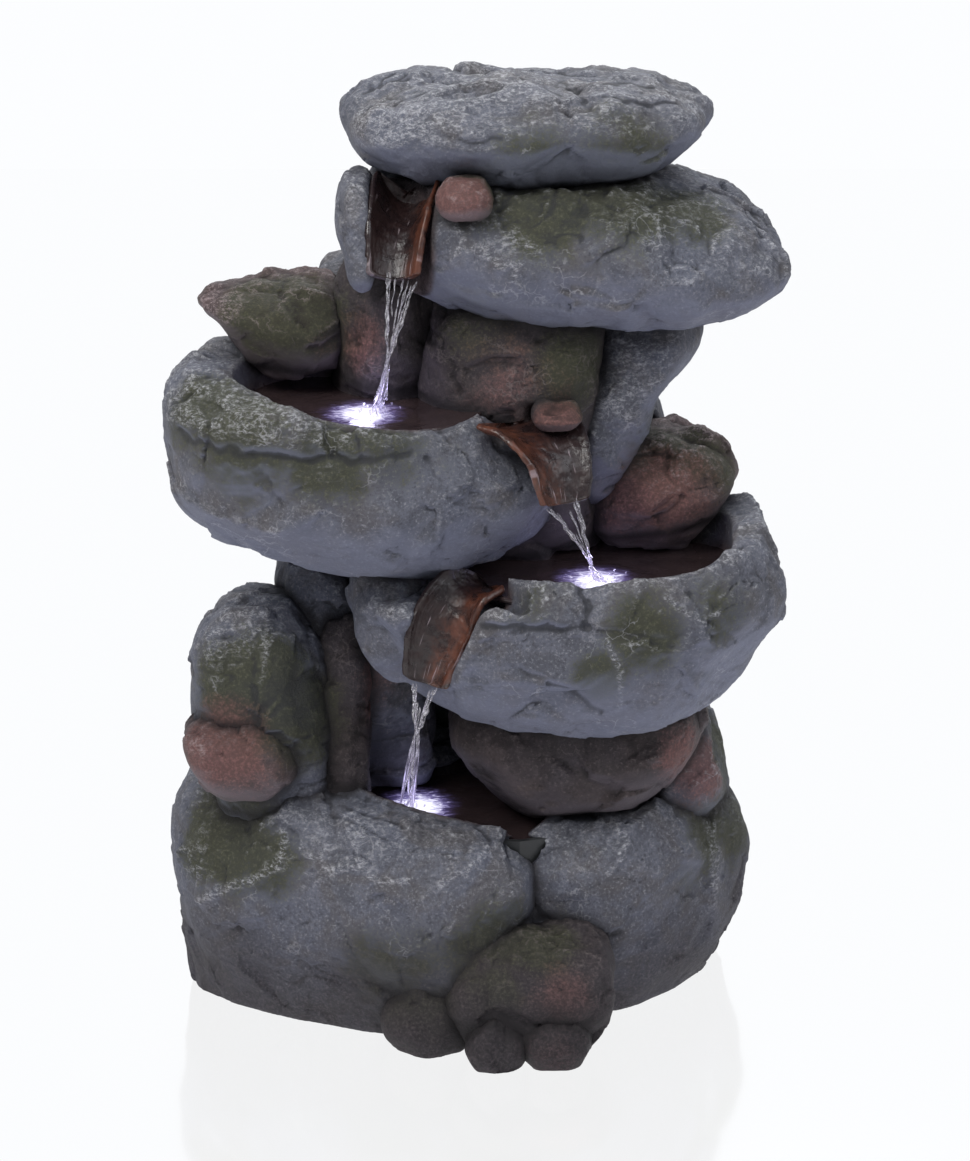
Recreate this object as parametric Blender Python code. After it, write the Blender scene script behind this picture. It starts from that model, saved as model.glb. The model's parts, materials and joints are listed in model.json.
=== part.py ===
"""Tiered rock water fountain: a stack of hollow cast-resin stones with three basins, lights, a pump and a riser hose.

Metres, +Z up. The front faces -Y, and the origin is on the ground under the middle of the fountain's box.
A stone is a loft through rings. Each ring is a row: height, left, right, front and back.
"""

import math

import bmesh
import bpy
from mathutils import Matrix, Vector, noise

# Driving dimensions
WALL = 0.005  # cast resin wall
GAP = 0.0004  # bond line between neighbouring castings
CLEARANCE = 0.0015  # round the access door
MIDDLE_X, MIDDLE_Y = -0.0125, 0.0024  # middle of the fountain's box as drawn, moved to the origin at the end
STONE_SIDES = 16
ROUND_SIDES = 16

HOSE_X, HOSE_Y = 0.040, 0.104  # where the hose stands behind the stones
TOP_WAY_R = 0.020  # way for the hose, up into the upper stone

TUB_HIGH = 0.172
TUB_FLOOR = 0.008
TUB_SHELF = 0.108  # the shallow front of the pool
TUB_SHELF_BACK = 0.016
TUB_OUTLINE = [
    (-0.225, 0.045), (-0.135, -0.040), (-0.020, -0.098), (0.075, -0.088),
    (0.150, 0.000), (0.185, 0.080), (0.182, 0.150), (0.080, 0.168), (-0.080, 0.168), (-0.215, 0.150),
]

DOOR_LEFT, DOOR_RIGHT, DOOR_LOW, DOOR_HIGH = -0.075, 0.085, 0.200, 0.335

HOSE_R, HOSE_BORE_R = 0.0070, 0.0052
LEAD_R = 0.0016
LIGHT_R, LIGHT_HIGH, LENS_HIGH = 0.019, 0.012, 0.004

# Stones: rings from the bottom up (height, left, right, front, back)
CAP_STONE = [
    (0.724, -0.030, 0.100, -0.070, 0.070),
    (0.742, -0.072, 0.140, -0.100, 0.092),
    (0.757, -0.106, 0.164, -0.118, 0.108),
    (0.776, -0.122, 0.179, -0.120, 0.114),
    (0.792, -0.119, 0.174, -0.104, 0.112),
    (0.805, -0.092, 0.140, -0.066, 0.094),
    (0.811, -0.045, 0.085, -0.015, 0.060),
]
UPPER_STONE = [
    (0.610, 0.045, 0.165, -0.055, 0.060),
    (0.623, 0.000, 0.217, -0.098, 0.095),
    (0.643, -0.062, 0.248, -0.126, 0.118),
    (0.667, -0.098, 0.258, -0.136, 0.128),
    (0.692, -0.110, 0.245, -0.134, 0.128),
    (0.716, -0.110, 0.205, -0.118, 0.116),
    (0.734, -0.092, 0.150, -0.090, 0.090),
]
CHEEK_STONE = [
    (0.652, -0.106, -0.092, -0.098, -0.060),
    (0.668, -0.112, -0.088, -0.120, -0.040),
    (0.700, -0.118, -0.089, -0.116, -0.022),
    (0.728, -0.120, -0.091, -0.104, -0.018),
    (0.744, -0.114, -0.096, -0.090, -0.030),
]
SPOUT_PEBBLE = [
    (0.716, -0.028, -0.004, -0.124, -0.100),
    (0.724, -0.037, 0.004, -0.136, -0.090),
    (0.736, -0.038, 0.006, -0.138, -0.086),
    (0.748, -0.030, -0.002, -0.128, -0.092),
]
COLUMN_CENTRE = [
    (0.404, -0.050, 0.094, -0.030, 0.066),
    (0.440, -0.056, 0.098, -0.058, 0.078),
    (0.480, -0.058, 0.100, -0.078, 0.084),
    (0.530, -0.060, 0.102, -0.092, 0.086),
    (0.575, -0.056, 0.104, -0.098, 0.086),
    (0.615, -0.050, 0.100, -0.088, 0.084),
    (0.645, -0.038, 0.088, -0.066, 0.076),
]
COLUMN_LEFT = [
    (0.500, -0.116, -0.040, -0.008, 0.070),
    (0.535, -0.128, -0.034, -0.040, 0.080),
    (0.580, -0.130, -0.030, -0.056, 0.086),
    (0.630, -0.126, -0.032, -0.060, 0.084),
    (0.672, -0.112, -0.044, -0.052, 0.070),
]
COLUMN_RIGHT = [
    (0.430, 0.056, 0.090, -0.010, 0.060),
    (0.466, 0.056, 0.108, -0.040, 0.078),
    (0.506, 0.062, 0.138, -0.058, 0.088),
    (0.548, 0.070, 0.152, -0.064, 0.092),
    (0.580, 0.076, 0.178, -0.060, 0.092),
    (0.606, 0.080, 0.186, -0.046, 0.088),
    (0.632, 0.090, 0.170, -0.030, 0.076),
]
COLUMN_SEAT_PEBBLE = [
    (0.540, 0.046, 0.072, -0.116, -0.092),
    (0.549, 0.038, 0.080, -0.126, -0.082),
    (0.560, 0.042, 0.074, -0.122, -0.084),
]
LEFT_SPUR = [
    (0.566, -0.192, -0.120, -0.030, 0.046),
    (0.584, -0.210, -0.108, -0.044, 0.060),
    (0.604, -0.228, -0.102, -0.048, 0.066),
    (0.622, -0.242, -0.104, -0.038, 0.060),
    (0.635, -0.224, -0.120, -0.020, 0.050),
    (0.642, -0.196, -0.146, 0.000, 0.034),
]
LEFT_BACK_PEBBLE = [
    (0.602, -0.136, -0.104, 0.050, 0.100),
    (0.622, -0.146, -0.096, 0.040, 0.108),
    (0.640, -0.136, -0.100, 0.048, 0.100),
    (0.648, -0.122, -0.108, 0.060, 0.086),
]
LEFT_BASIN = [
    (0.409, -0.118, -0.022, -0.090, 0.030),
    (0.421, -0.182, 0.006, -0.122, 0.062),
    (0.441, -0.230, 0.034, -0.148, 0.088),
    (0.466, -0.264, 0.052, -0.166, 0.100),
    (0.492, -0.266, 0.056, -0.176, 0.104),
    (0.518, -0.260, 0.050, -0.179, 0.104),
    (0.544, -0.264, 0.036, -0.176, 0.102),
    (0.564, -0.248, 0.012, -0.166, 0.094),
]
LEFT_BOWL = [
    (0.496, -0.176, -0.046, -0.112, -0.010),
    (0.506, -0.204, -0.024, -0.134, 0.012),
    (0.530, -0.224, -0.008, -0.149, 0.030),
    (0.560, -0.232, 0.002, -0.156, 0.038),
    (0.640, -0.238, 0.006, -0.158, 0.042),
]
RIGHT_SPUR = [
    (0.405, 0.104, 0.178, -0.010, 0.070),
    (0.424, 0.088, 0.196, -0.030, 0.088),
    (0.444, 0.084, 0.213, -0.038, 0.098),
    (0.464, 0.086, 0.223, -0.036, 0.100),
    (0.484, 0.092, 0.214, -0.026, 0.094),
    (0.500, 0.112, 0.190, -0.006, 0.078),
]
RIGHT_BASIN = [
    (0.268, 0.035, 0.140, -0.092, 0.050),
    (0.281, -0.018, 0.180, -0.132, 0.070),
    (0.303, -0.044, 0.212, -0.154, 0.082),
    (0.333, -0.070, 0.238, -0.168, 0.088),
    (0.364, -0.092, 0.250, -0.176, 0.090),
    (0.392, -0.110, 0.250, -0.176, 0.090),
    (0.416, -0.116, 0.246, -0.166, 0.086),
]
RIGHT_BOWL = [
    (0.352, 0.034, 0.160, -0.112, -0.012),
    (0.362, 0.010, 0.186, -0.134, 0.010),
    (0.386, -0.004, 0.204, -0.147, 0.026),
    (0.414, -0.010, 0.214, -0.154, 0.034),
    (0.520, -0.012, 0.218, -0.156, 0.036),
]
STANDING_GREY = [
    (0.172, -0.232, -0.128, -0.080, 0.030),
    (0.220, -0.246, -0.126, -0.092, 0.040),
    (0.268, -0.256, -0.130, -0.098, 0.044),
    (0.312, -0.255, -0.138, -0.094, 0.042),
    (0.346, -0.244, -0.150, -0.082, 0.034),
    (0.368, -0.226, -0.170, -0.064, 0.020),
]
STANDING_DARK = [
    (0.172, -0.128, -0.052, 0.022, 0.082),
    (0.230, -0.142, -0.046, -0.004, 0.084),
    (0.290, -0.164, -0.058, -0.030, 0.086),
    (0.334, -0.180, -0.088, -0.032, 0.084),
    (0.370, -0.184, -0.112, -0.026, 0.076),
    (0.392, -0.174, -0.138, -0.012, 0.056),
]
POOL_SIDE_STONE = [
    (0.176, -0.158, -0.104, -0.066, -0.016),
    (0.208, -0.164, -0.098, -0.072, -0.010),
    (0.252, -0.160, -0.098, -0.068, -0.006),
    (0.292, -0.154, -0.098, -0.060, -0.004),
    (0.326, -0.146, -0.106, -0.048, -0.008),
    (0.350, -0.136, -0.116, -0.036, -0.018),
]
RED_STONE = [
    (0.208, -0.228, -0.178, -0.104, -0.040),
    (0.224, -0.244, -0.164, -0.116, -0.030),
    (0.246, -0.254, -0.158, -0.120, -0.026),
    (0.264, -0.256, -0.166, -0.114, -0.030),
    (0.277, -0.240, -0.190, -0.100, -0.044),
]
LOWER_COLUMN = [
    (0.176, 0.024, 0.120, -0.050, 0.056),
    (0.196, -0.006, 0.160, -0.086, 0.070),
    (0.226, -0.026, 0.186, -0.102, 0.076),
    (0.256, -0.032, 0.192, -0.104, 0.076),
    (0.286, -0.020, 0.182, -0.092, 0.068),
]
LOWER_SIDE = [
    (0.140, 0.136, 0.206, -0.010, 0.110),
    (0.170, 0.132, 0.218, -0.034, 0.124),
    (0.206, 0.134, 0.214, -0.038, 0.126),
    (0.240, 0.138, 0.202, -0.032, 0.120),
    (0.268, 0.146, 0.190, -0.014, 0.104),
]
LEFT_BOULDER = [
    (0.000, -0.268, 0.024, -0.110, 0.026),
    (0.040, -0.276, 0.040, -0.124, 0.034),
    (0.090, -0.286, 0.052, -0.136, 0.040),
    (0.135, -0.290, 0.056, -0.136, 0.040),
    (0.170, -0.276, 0.046, -0.126, 0.034),
    (0.194, -0.244, 0.014, -0.104, 0.014),
    (0.208, -0.200, -0.060, -0.074, -0.014),
]
RIGHT_BOULDER = [
    (0.000, -0.006, 0.220, -0.066, 0.090),
    (0.040, -0.018, 0.232, -0.082, 0.100),
    (0.085, -0.026, 0.240, -0.092, 0.104),
    (0.130, -0.026, 0.234, -0.092, 0.100),
    (0.164, -0.014, 0.216, -0.082, 0.088),
    (0.186, 0.016, 0.188, -0.060, 0.066),
]
POOL_MOUTH = [(0.1735, -0.112, 0.074, -0.072, 0.050), (0.300, -0.130, 0.092, -0.080, 0.060)]
ROUND_STONE = [
    (0.000, -0.020, 0.092, -0.172, -0.090),
    (0.030, -0.038, 0.108, -0.188, -0.084),
    (0.060, -0.042, 0.112, -0.190, -0.080),
    (0.088, -0.026, 0.104, -0.174, -0.076),
    (0.106, 0.010, 0.080, -0.144, -0.080),
]
TOE_STONES = {  # small stones along the front foot
    "toe_stone_left": [
        (0.000, -0.080, -0.018, -0.168, -0.096),
        (0.022, -0.086, -0.012, -0.174, -0.092),
        (0.044, -0.080, -0.012, -0.168, -0.088),
        (0.066, -0.062, -0.022, -0.146, -0.094),
    ],
    "toe_stone_middle": [
        (0.000, -0.012, 0.034, -0.200, -0.140),
        (0.016, -0.018, 0.040, -0.2045, -0.138),
        (0.032, -0.012, 0.034, -0.198, -0.140),
        (0.044, 0.000, 0.022, -0.186, -0.150),
    ],
    "toe_stone_right": [
        (0.000, 0.034, 0.084, -0.198, -0.140),
        (0.018, 0.028, 0.090, -0.2045, -0.138),
        (0.034, 0.034, 0.084, -0.198, -0.142),
        (0.046, 0.044, 0.070, -0.186, -0.150),
    ],
}
REAR_BASE_LEFT = [
    (0.000, -0.238, -0.012, 0.060, 0.196),
    (0.050, -0.248, -0.006, 0.050, 0.204),
    (0.110, -0.250, -0.004, 0.050, 0.204),
    (0.155, -0.238, -0.010, 0.056, 0.196),
    (0.182, -0.206, -0.030, 0.080, 0.180),
]
REAR_BASE_RIGHT = [
    (0.000, 0.000, 0.206, 0.070, 0.198),
    (0.050, -0.006, 0.214, 0.060, 0.205),
    (0.105, -0.006, 0.216, 0.060, 0.205),
    (0.150, 0.000, 0.206, 0.066, 0.196),
    (0.180, 0.024, 0.180, 0.090, 0.180),
]
REAR_SHELL = [
    (0.160, -0.150, 0.150, 0.040, 0.176),
    (0.220, -0.156, 0.164, 0.040, 0.182),
    (0.300, -0.158, 0.176, 0.040, 0.184),
    (0.380, -0.154, 0.180, 0.040, 0.180),
    (0.460, -0.150, 0.166, 0.040, 0.172),
    (0.540, -0.142, 0.150, 0.040, 0.162),
    (0.600, -0.124, 0.140, 0.040, 0.150),
    (0.650, -0.090, 0.110, 0.040, 0.128),
]


# ---------------------------------------------------------------- materials
FINISHES = {  # name: colour, roughness, metallic
    "grey_stone": ((0.13, 0.14, 0.15), 0.78, 0.0),
    "brown_stone": ((0.085, 0.060, 0.050), 0.80, 0.0),
    "red_stone": ((0.20, 0.085, 0.065), 0.78, 0.0),
    "copper_channel": ((0.22, 0.070, 0.030), 0.35, 0.0),
    "tub_resin": ((0.045, 0.042, 0.042), 0.70, 0.0),
    "black_plastic": ((0.020, 0.020, 0.022), 0.45, 0.0),
    "grey_plastic": ((0.18, 0.18, 0.19), 0.50, 0.0),
    "clear_vinyl": ((0.70, 0.74, 0.76), 0.25, 0.0),
    "black_rubber": ((0.015, 0.015, 0.015), 0.85, 0.0),
    "light_lens": ((0.85, 0.86, 1.00), 0.15, 0.0),
    "steel": ((0.55, 0.55, 0.56), 0.30, 1.0),
}


def material(name):
    """The named finish, made on first use."""
    found = bpy.data.materials.get(name)
    if found:
        return found
    colour, roughness, metallic = FINISHES[name]
    made = bpy.data.materials.new(name)
    made.use_nodes = True
    shader = made.node_tree.nodes["Principled BSDF"]
    shader.inputs["Base Color"].default_value = (*colour, 1.0)
    shader.inputs["Roughness"].default_value = roughness
    shader.inputs["Metallic"].default_value = metallic
    return made


# ---------------------------------------------------------------- shape tools
def new_object(name, mesh, finish=None):
    made = bpy.data.objects.new(name, mesh)
    bpy.context.scene.collection.objects.link(made)
    if finish:
        mesh.materials.append(material(finish))
    return made


def helper(made):
    """Marks an object as a cutter or guide, which isn't part of the fountain."""
    made.hide_render = True
    made.display_type = "WIRE"
    return made


def solid_from_rings(name, rings, finish=None, loop=False):
    """A closed body through rings of equal point count, with flat ends, or with its last ring joined to its first."""
    mesh = bpy.data.meshes.new(name)
    bm = bmesh.new()
    made = [[bm.verts.new(point) for point in ring] for ring in rings]
    count = len(rings[0])
    pairs = list(zip(made, made[1:]))
    if loop:
        pairs.append((made[-1], made[0]))
    for low, high in pairs:
        for i in range(count):
            j = (i + 1) % count
            bm.faces.new((low[i], low[j], high[j], high[i]))
    if not loop:
        bm.faces.new(reversed(made[0]))
        bm.faces.new(made[-1])
    bmesh.ops.recalc_face_normals(bm, faces=bm.faces)
    bmesh.ops.triangulate(bm, faces=bm.faces)
    bm.to_mesh(mesh)
    bm.free()
    return new_object(name, mesh, finish)


def stone_rings(sections, turn, slope, rough, seed):
    """Rings of a stone: rounded boxes with a lumpy edge, turned in plan, their tops sloping by slope (per x, per y)."""
    low, high = sections[0][0], sections[-1][0]
    mid_x = sum(s[1] + s[2] for s in sections) / (2 * len(sections))
    mid_y = sum(s[3] + s[4] for s in sections) / (2 * len(sections))
    swing = Matrix.Rotation(math.radians(turn), 3, "Z")
    rings = []
    for z, left, right, front, back in sections:
        centre = Vector(((left + right) / 2 - mid_x, (front + back) / 2 - mid_y, 0))
        half_x, half_y = (right - left) / 2, (back - front) / 2
        lift = (z - low) / (high - low)
        ring = []
        for i in range(STONE_SIDES):
            angle = 2 * math.pi * (i + 0.5) / STONE_SIDES
            c, s = math.cos(angle), math.sin(angle)
            power = 2 / 2.5  # a superellipse, a little squarer than a circle
            x = math.copysign(abs(c) ** power, c)
            y = math.copysign(abs(s) ** power, s)
            lump = noise.noise(Vector((c * 1.6 + seed, s * 1.6, z * 14.0)))
            swell = 1 + rough * lump
            point = swing @ (centre + Vector((x * half_x * swell, y * half_y * swell, 0)))
            rise = lift * (slope[0] * point.x + slope[1] * point.y)
            ring.append((point.x + mid_x, point.y + mid_y, z + rise))
        rings.append(ring)
    return rings


def blank(name, sections, turn=0.0, slope=(0.0, 0.0), rough=0.10, seed=0.0):
    """A solid stone, used as a stone's outer form or as the cutter of a bowl."""
    return helper(solid_from_rings(name, stone_rings(sections, turn, slope, rough, seed)))


def offset_copy(source, distance, suffix):
    """A hidden copy of a blank, grown by distance, or shrunk if it is negative."""
    bm = bmesh.new()
    bm.from_mesh(source.data)
    bm.normal_update()
    moves = [(v, v.normal * distance * min(v.calc_shell_factor(), 1.6)) for v in bm.verts]
    for vert, move in moves:
        vert.co += move
    mesh = bpy.data.meshes.new(source.name + suffix)
    bm.to_mesh(mesh)
    bm.free()
    return helper(new_object(source.name + suffix, mesh))


def boolean(target, other, operation="DIFFERENCE"):
    modifier = target.modifiers.new(operation.lower() + "_" + other.name, "BOOLEAN")
    modifier.operation = operation
    modifier.object = other
    modifier.solver = "EXACT"


def box(name, low, high, finish=None):
    """A box from its lowest to its highest corner."""
    mesh = bpy.data.meshes.new(name)
    bm = bmesh.new()
    bmesh.ops.create_cube(bm, size=1.0)
    for vert in bm.verts:
        vert.co = Vector([low[k] if vert.co[k] < 0 else high[k] for k in range(3)])
    bm.to_mesh(mesh)
    bm.free()
    return new_object(name, mesh, finish)


def circle(centre, axis, radius, sides=ROUND_SIDES):
    """Points round a circle about an axis."""
    turn = Vector(axis).to_track_quat("Z", "Y")
    steps = [2 * math.pi * i / sides for i in range(sides)]
    return [Vector(centre) + turn @ Vector((radius * math.cos(a), radius * math.sin(a), 0)) for a in steps]


def turned(name, centre, axis, profile, finish=None, sides=ROUND_SIDES, loop=False):
    """A turned body from a profile of (distance along the axis, radius)."""
    along = Vector(axis).normalized()
    rings = [circle(Vector(centre) + along * step, axis, radius, sides) for step, radius in profile]
    made = solid_from_rings(name, rings, finish, loop)
    smooth(made)
    return made


def smooth(made, angle=40.0):
    made.data.shade_smooth()
    made.data.set_sharp_from_angle(angle=math.radians(angle))


def cylinder(name, centre, axis, low, high, radius, finish=None, sides=ROUND_SIDES):
    return turned(name, centre, axis, [(low, radius), (high, radius)], finish, sides)


def smooth_route(points, steps):
    """Points along one smooth curve through the given points."""
    knots = [Vector(p) for p in points]
    knots = [2 * knots[0] - knots[1], *knots, 2 * knots[-1] - knots[-2]]
    route = []
    for a, b, c, d in zip(knots, knots[1:], knots[2:], knots[3:]):
        for i in range(steps):
            t = i / steps
            route.append(0.5 * (2 * b + (c - a) * t + (2 * a - 5 * b + 4 * c - d) * t**2 + (3 * b - a - 3 * c + d) * t**3))
    route.append(knots[-2])
    return route


def route_rings(route, radius, sides):
    """Circles of one radius across a route, each keeping the twist of the one before."""
    rings = []
    side = Vector((1, 0, 0))
    for i, point in enumerate(route):
        ahead = (route[min(i + 1, len(route) - 1)] - route[max(i - 1, 0)]).normalized()
        side = (side - ahead * side.dot(ahead)).normalized()
        other = ahead.cross(side)
        steps = [2 * math.pi * k / sides for k in range(sides)]
        rings.append([point + side * radius * math.cos(a) + other * radius * math.sin(a) for a in steps])
    return rings


def lead(name, points):
    """A lighting lead: a curve with a round bevel through its route's own points."""
    route = smooth_route(points, 3)
    curve = bpy.data.curves.new(name, "CURVE")
    curve.dimensions = "3D"
    curve.bevel_depth = LEAD_R
    curve.bevel_resolution = 1
    curve.use_fill_caps = True
    spline = curve.splines.new("POLY")
    spline.points.add(len(route) - 1)
    for point, place in zip(spline.points, route):
        point.co = (*place, 1.0)
    curve.materials.append(material("black_rubber"))
    made = bpy.data.objects.new(name, curve)
    bpy.context.scene.collection.objects.link(made)
    return made


# ---------------------------------------------------------------- stones
BLANKS = {}  # each casting's outer form, grown by the bond gap, which cuts the stones that give way to it


def casting(name, sections, finish, gives_way_to=(), bites=(), holes=(), hollow=True, **shape):
    """A cast stone with a wall of WALL round its hollow, its bites walled off, and its bond faces cut to its neighbours.

    bites are cutters with a wall behind them, such as a bowl. holes go through the wall.
    """
    outer = blank(name + "_form", sections, **shape)
    made = new_object(name, outer.data.copy(), finish)
    if hollow:
        core = offset_copy(outer, -WALL, "_core")
        for bite in bites:
            boolean(core, offset_copy(bite, WALL, "_wall_of_" + name))
        boolean(made, core)
    grown = offset_copy(outer, GAP, "_grown")
    for bite in bites:
        boolean(made, bite)
        boolean(grown, offset_copy(bite, -GAP, "_inner_of_" + name))
    for hole in holes:
        boolean(made, hole)
    for other in gives_way_to:
        boolean(made, BLANKS[other])
    BLANKS[name] = grown
    smooth(made, 50.0)
    return made


def outline_rings(outline, heights):
    return [[(x, y, z) for x, y in outline] for z in heights]


def base_tub():
    """The watertight reservoir: a shallow pool at the front, a pump well behind it, and a flat foot."""
    outline = smooth_outline(TUB_OUTLINE, 2)
    inner = shrunk_outline(outline, WALL)
    tub = solid_from_rings("base_tub", outline_rings(outline, (0.0, TUB_HIGH)), "tub_resin")
    well = helper(solid_from_rings("pump_well", outline_rings(inner, (TUB_FLOOR, TUB_HIGH + 0.01))))
    boolean(well, helper(box("pool_shelf", (-0.4, -0.4, -0.1), (0.4, TUB_SHELF_BACK, TUB_SHELF))))
    boolean(tub, well)
    under = helper(solid_from_rings("under_shelf", outline_rings(inner, (-0.01, TUB_SHELF - WALL))))
    boolean(under, helper(box("behind_shelf", (-0.4, TUB_SHELF_BACK - WALL, -0.1), (0.4, 0.4, 0.4))))
    boolean(tub, under)
    grown = shrunk_outline(outline, -GAP)
    BLANKS["base_tub"] = helper(
        solid_from_rings("base_tub_grown", outline_rings(grown, (-0.002, TUB_HIGH + GAP)))
    )
    smooth(tub)


def smooth_outline(points, steps):
    """A closed smooth curve through the outline's points."""
    count = len(points)
    knots = [Vector((*p, 0)) for p in points]
    made = []
    for i in range(count):
        a, b, c, d = (knots[(i + k - 1) % count] for k in range(4))
        for step in range(steps):
            t = step / steps
            point = 0.5 * (2 * b + (c - a) * t + (2 * a - 5 * b + 4 * c - d) * t**2 + (3 * b - a - 3 * c + d) * t**3)
            made.append((point.x, point.y))
    return made


def shrunk_outline(outline, distance):
    """The outline moved inwards, or outwards if distance is negative."""
    made = []
    for i, point in enumerate(outline):
        before, after = Vector(outline[i - 1]), Vector(outline[(i + 1) % len(outline)])
        along = (after - before).normalized()
        inward = Vector((-along.y, along.x))
        made.append(tuple(Vector(point) + inward * distance))
    return made


def base_stones():
    """Boulders bonded round the tub, all standing on the ground."""
    around = ("base_tub",)
    inner = shrunk_outline(smooth_outline(TUB_OUTLINE, 2), WALL)
    over_well = helper(solid_from_rings("over_well", outline_rings(inner, (0.150, 0.300))))
    mouth = blank("pool_mouth", POOL_MOUTH, rough=0.04)
    casting(
        "left_boulder", LEFT_BOULDER, "grey_stone", around, bites=(mouth,), turn=-24, slope=(-0.12, 0.0), seed=3.1
    )
    casting(
        "right_boulder", RIGHT_BOULDER, "grey_stone", (*around, "left_boulder"), bites=(mouth,), turn=42, seed=8.4
    )
    casting(
        "round_front_stone", ROUND_STONE, "brown_stone",
        ("left_boulder", "right_boulder", "base_tub"), seed=5.2,
    )
    done = ["left_boulder", "right_boulder", "round_front_stone", "base_tub"]
    for index, (name, sections) in enumerate(TOE_STONES.items()):
        casting(name, sections, "brown_stone", tuple(done), hollow=False, seed=11.0 + index)
        done.append(name)
    casting(
        "rear_base_left", REAR_BASE_LEFT, "grey_stone", ("base_tub", "left_boulder"),
        holes=(over_well, grommet_seat()), seed=14.3,
    )
    casting(
        "rear_base_right", REAR_BASE_RIGHT, "grey_stone",
        ("base_tub", "right_boulder", "rear_base_left"), holes=(over_well,), seed=15.9,
    )


def niche_cutter():
    """The recess at the left of the upper stone that the first spout runs out of."""
    return blank(
        "niche",
        [
            (0.630, -0.130, -0.044, -0.200, -0.070),
            (0.680, -0.130, -0.044, -0.200, -0.052),
            (0.724, -0.130, -0.042, -0.200, -0.034),
            (0.760, -0.130, -0.042, -0.200, -0.030),
        ],
        rough=0.0,
    )


def tier_stones():
    """The basins and the stones between them, from the top down."""
    top_way = helper(cylinder("top_way", (HOSE_X, HOSE_Y - 0.004, 0), (0, 0, 1), 0.590, 0.665, TOP_WAY_R))
    niche = niche_cutter()
    notches = {side: outlet_notch(side) for side in ("left", "right")}
    left_bowl = blank("left_bowl", LEFT_BOWL, seed=2.0)
    right_bowl = blank("right_bowl", RIGHT_BOWL, seed=6.0)

    casting("upper_stone", UPPER_STONE, "grey_stone", bites=(niche,), holes=(top_way, nozzle_hole()), seed=1.3)
    casting("spout_cheek_stone", CHEEK_STONE, "grey_stone", ("upper_stone",), hollow=False, seed=4.4)
    casting("spout_pebble", SPOUT_PEBBLE, "red_stone", ("upper_stone",), hollow=False, seed=9.1)
    casting(
        "cap_stone", CAP_STONE, "grey_stone",
        ("upper_stone", "spout_cheek_stone", "spout_pebble"), seed=0.7,
    )
    casting(
        "left_basin", LEFT_BASIN, "grey_stone", bites=(left_bowl,), slope=(-0.13, 0.06), seed=2.9,
        holes=(lead_hole("left"), notches["left"], lead_exit("left")),
    )
    casting(
        "right_basin", RIGHT_BASIN, "grey_stone", ("left_basin",), bites=(right_bowl,), slope=(0.17, 0.0), seed=7.7,
        holes=(lead_hole("right"), notches["right"], lead_exit("right")),
    )
    round_about = ("upper_stone", "left_basin", "right_basin")
    casting("column_centre_stone", COLUMN_CENTRE, "brown_stone", round_about, holes=(notches["left"],), seed=12.0)
    casting(
        "column_left_stone", COLUMN_LEFT, "brown_stone",
        (*round_about, "column_centre_stone", "spout_cheek_stone"), seed=13.0,
    )
    casting(
        "column_right_stone", COLUMN_RIGHT, "grey_stone",
        (*round_about, "column_centre_stone"), holes=(notches["left"],), seed=16.0,
    )
    casting(
        "column_seat_pebble", COLUMN_SEAT_PEBBLE, "red_stone",
        ("column_centre_stone",), holes=(notches["left"],), hollow=False, seed=17.0,
    )
    casting("left_spur_stone", LEFT_SPUR, "grey_stone", ("left_basin", "column_left_stone"), turn=8, seed=18.0)
    casting(
        "left_back_pebble", LEFT_BACK_PEBBLE, "grey_stone",
        ("left_spur_stone", "column_left_stone", "left_basin"), hollow=False, seed=19.0,
    )
    casting(
        "right_spur_stone", RIGHT_SPUR, "red_stone",
        ("right_basin", "column_right_stone", "column_centre_stone"), seed=20.0,
    )


def lower_stones():
    """The stones that carry the basins on the base."""
    base = ("base_tub", "left_boulder", "right_boulder", "rear_base_left", "rear_base_right")
    basins = ("left_basin", "right_basin")
    casting("lower_column_stone", LOWER_COLUMN, "brown_stone", (*base, *basins), seed=21.0)
    casting("lower_side_stone", LOWER_SIDE, "grey_stone", (*base, *basins, "lower_column_stone"), seed=22.0)
    casting("red_stone", RED_STONE, "red_stone", base, hollow=False, seed=23.0)
    casting("standing_grey_stone", STANDING_GREY, "grey_stone", (*base, *basins, "red_stone"), seed=24.0)
    casting(
        "standing_dark_stone", STANDING_DARK, "brown_stone",
        (*base, *basins, "standing_grey_stone", "lower_column_stone"), seed=25.0,
    )
    casting(
        "pool_side_stone", POOL_SIDE_STONE, "brown_stone",
        (*base, *basins, "standing_grey_stone", "standing_dark_stone", "lower_column_stone"), hollow=False, seed=26.0,
    )


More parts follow.
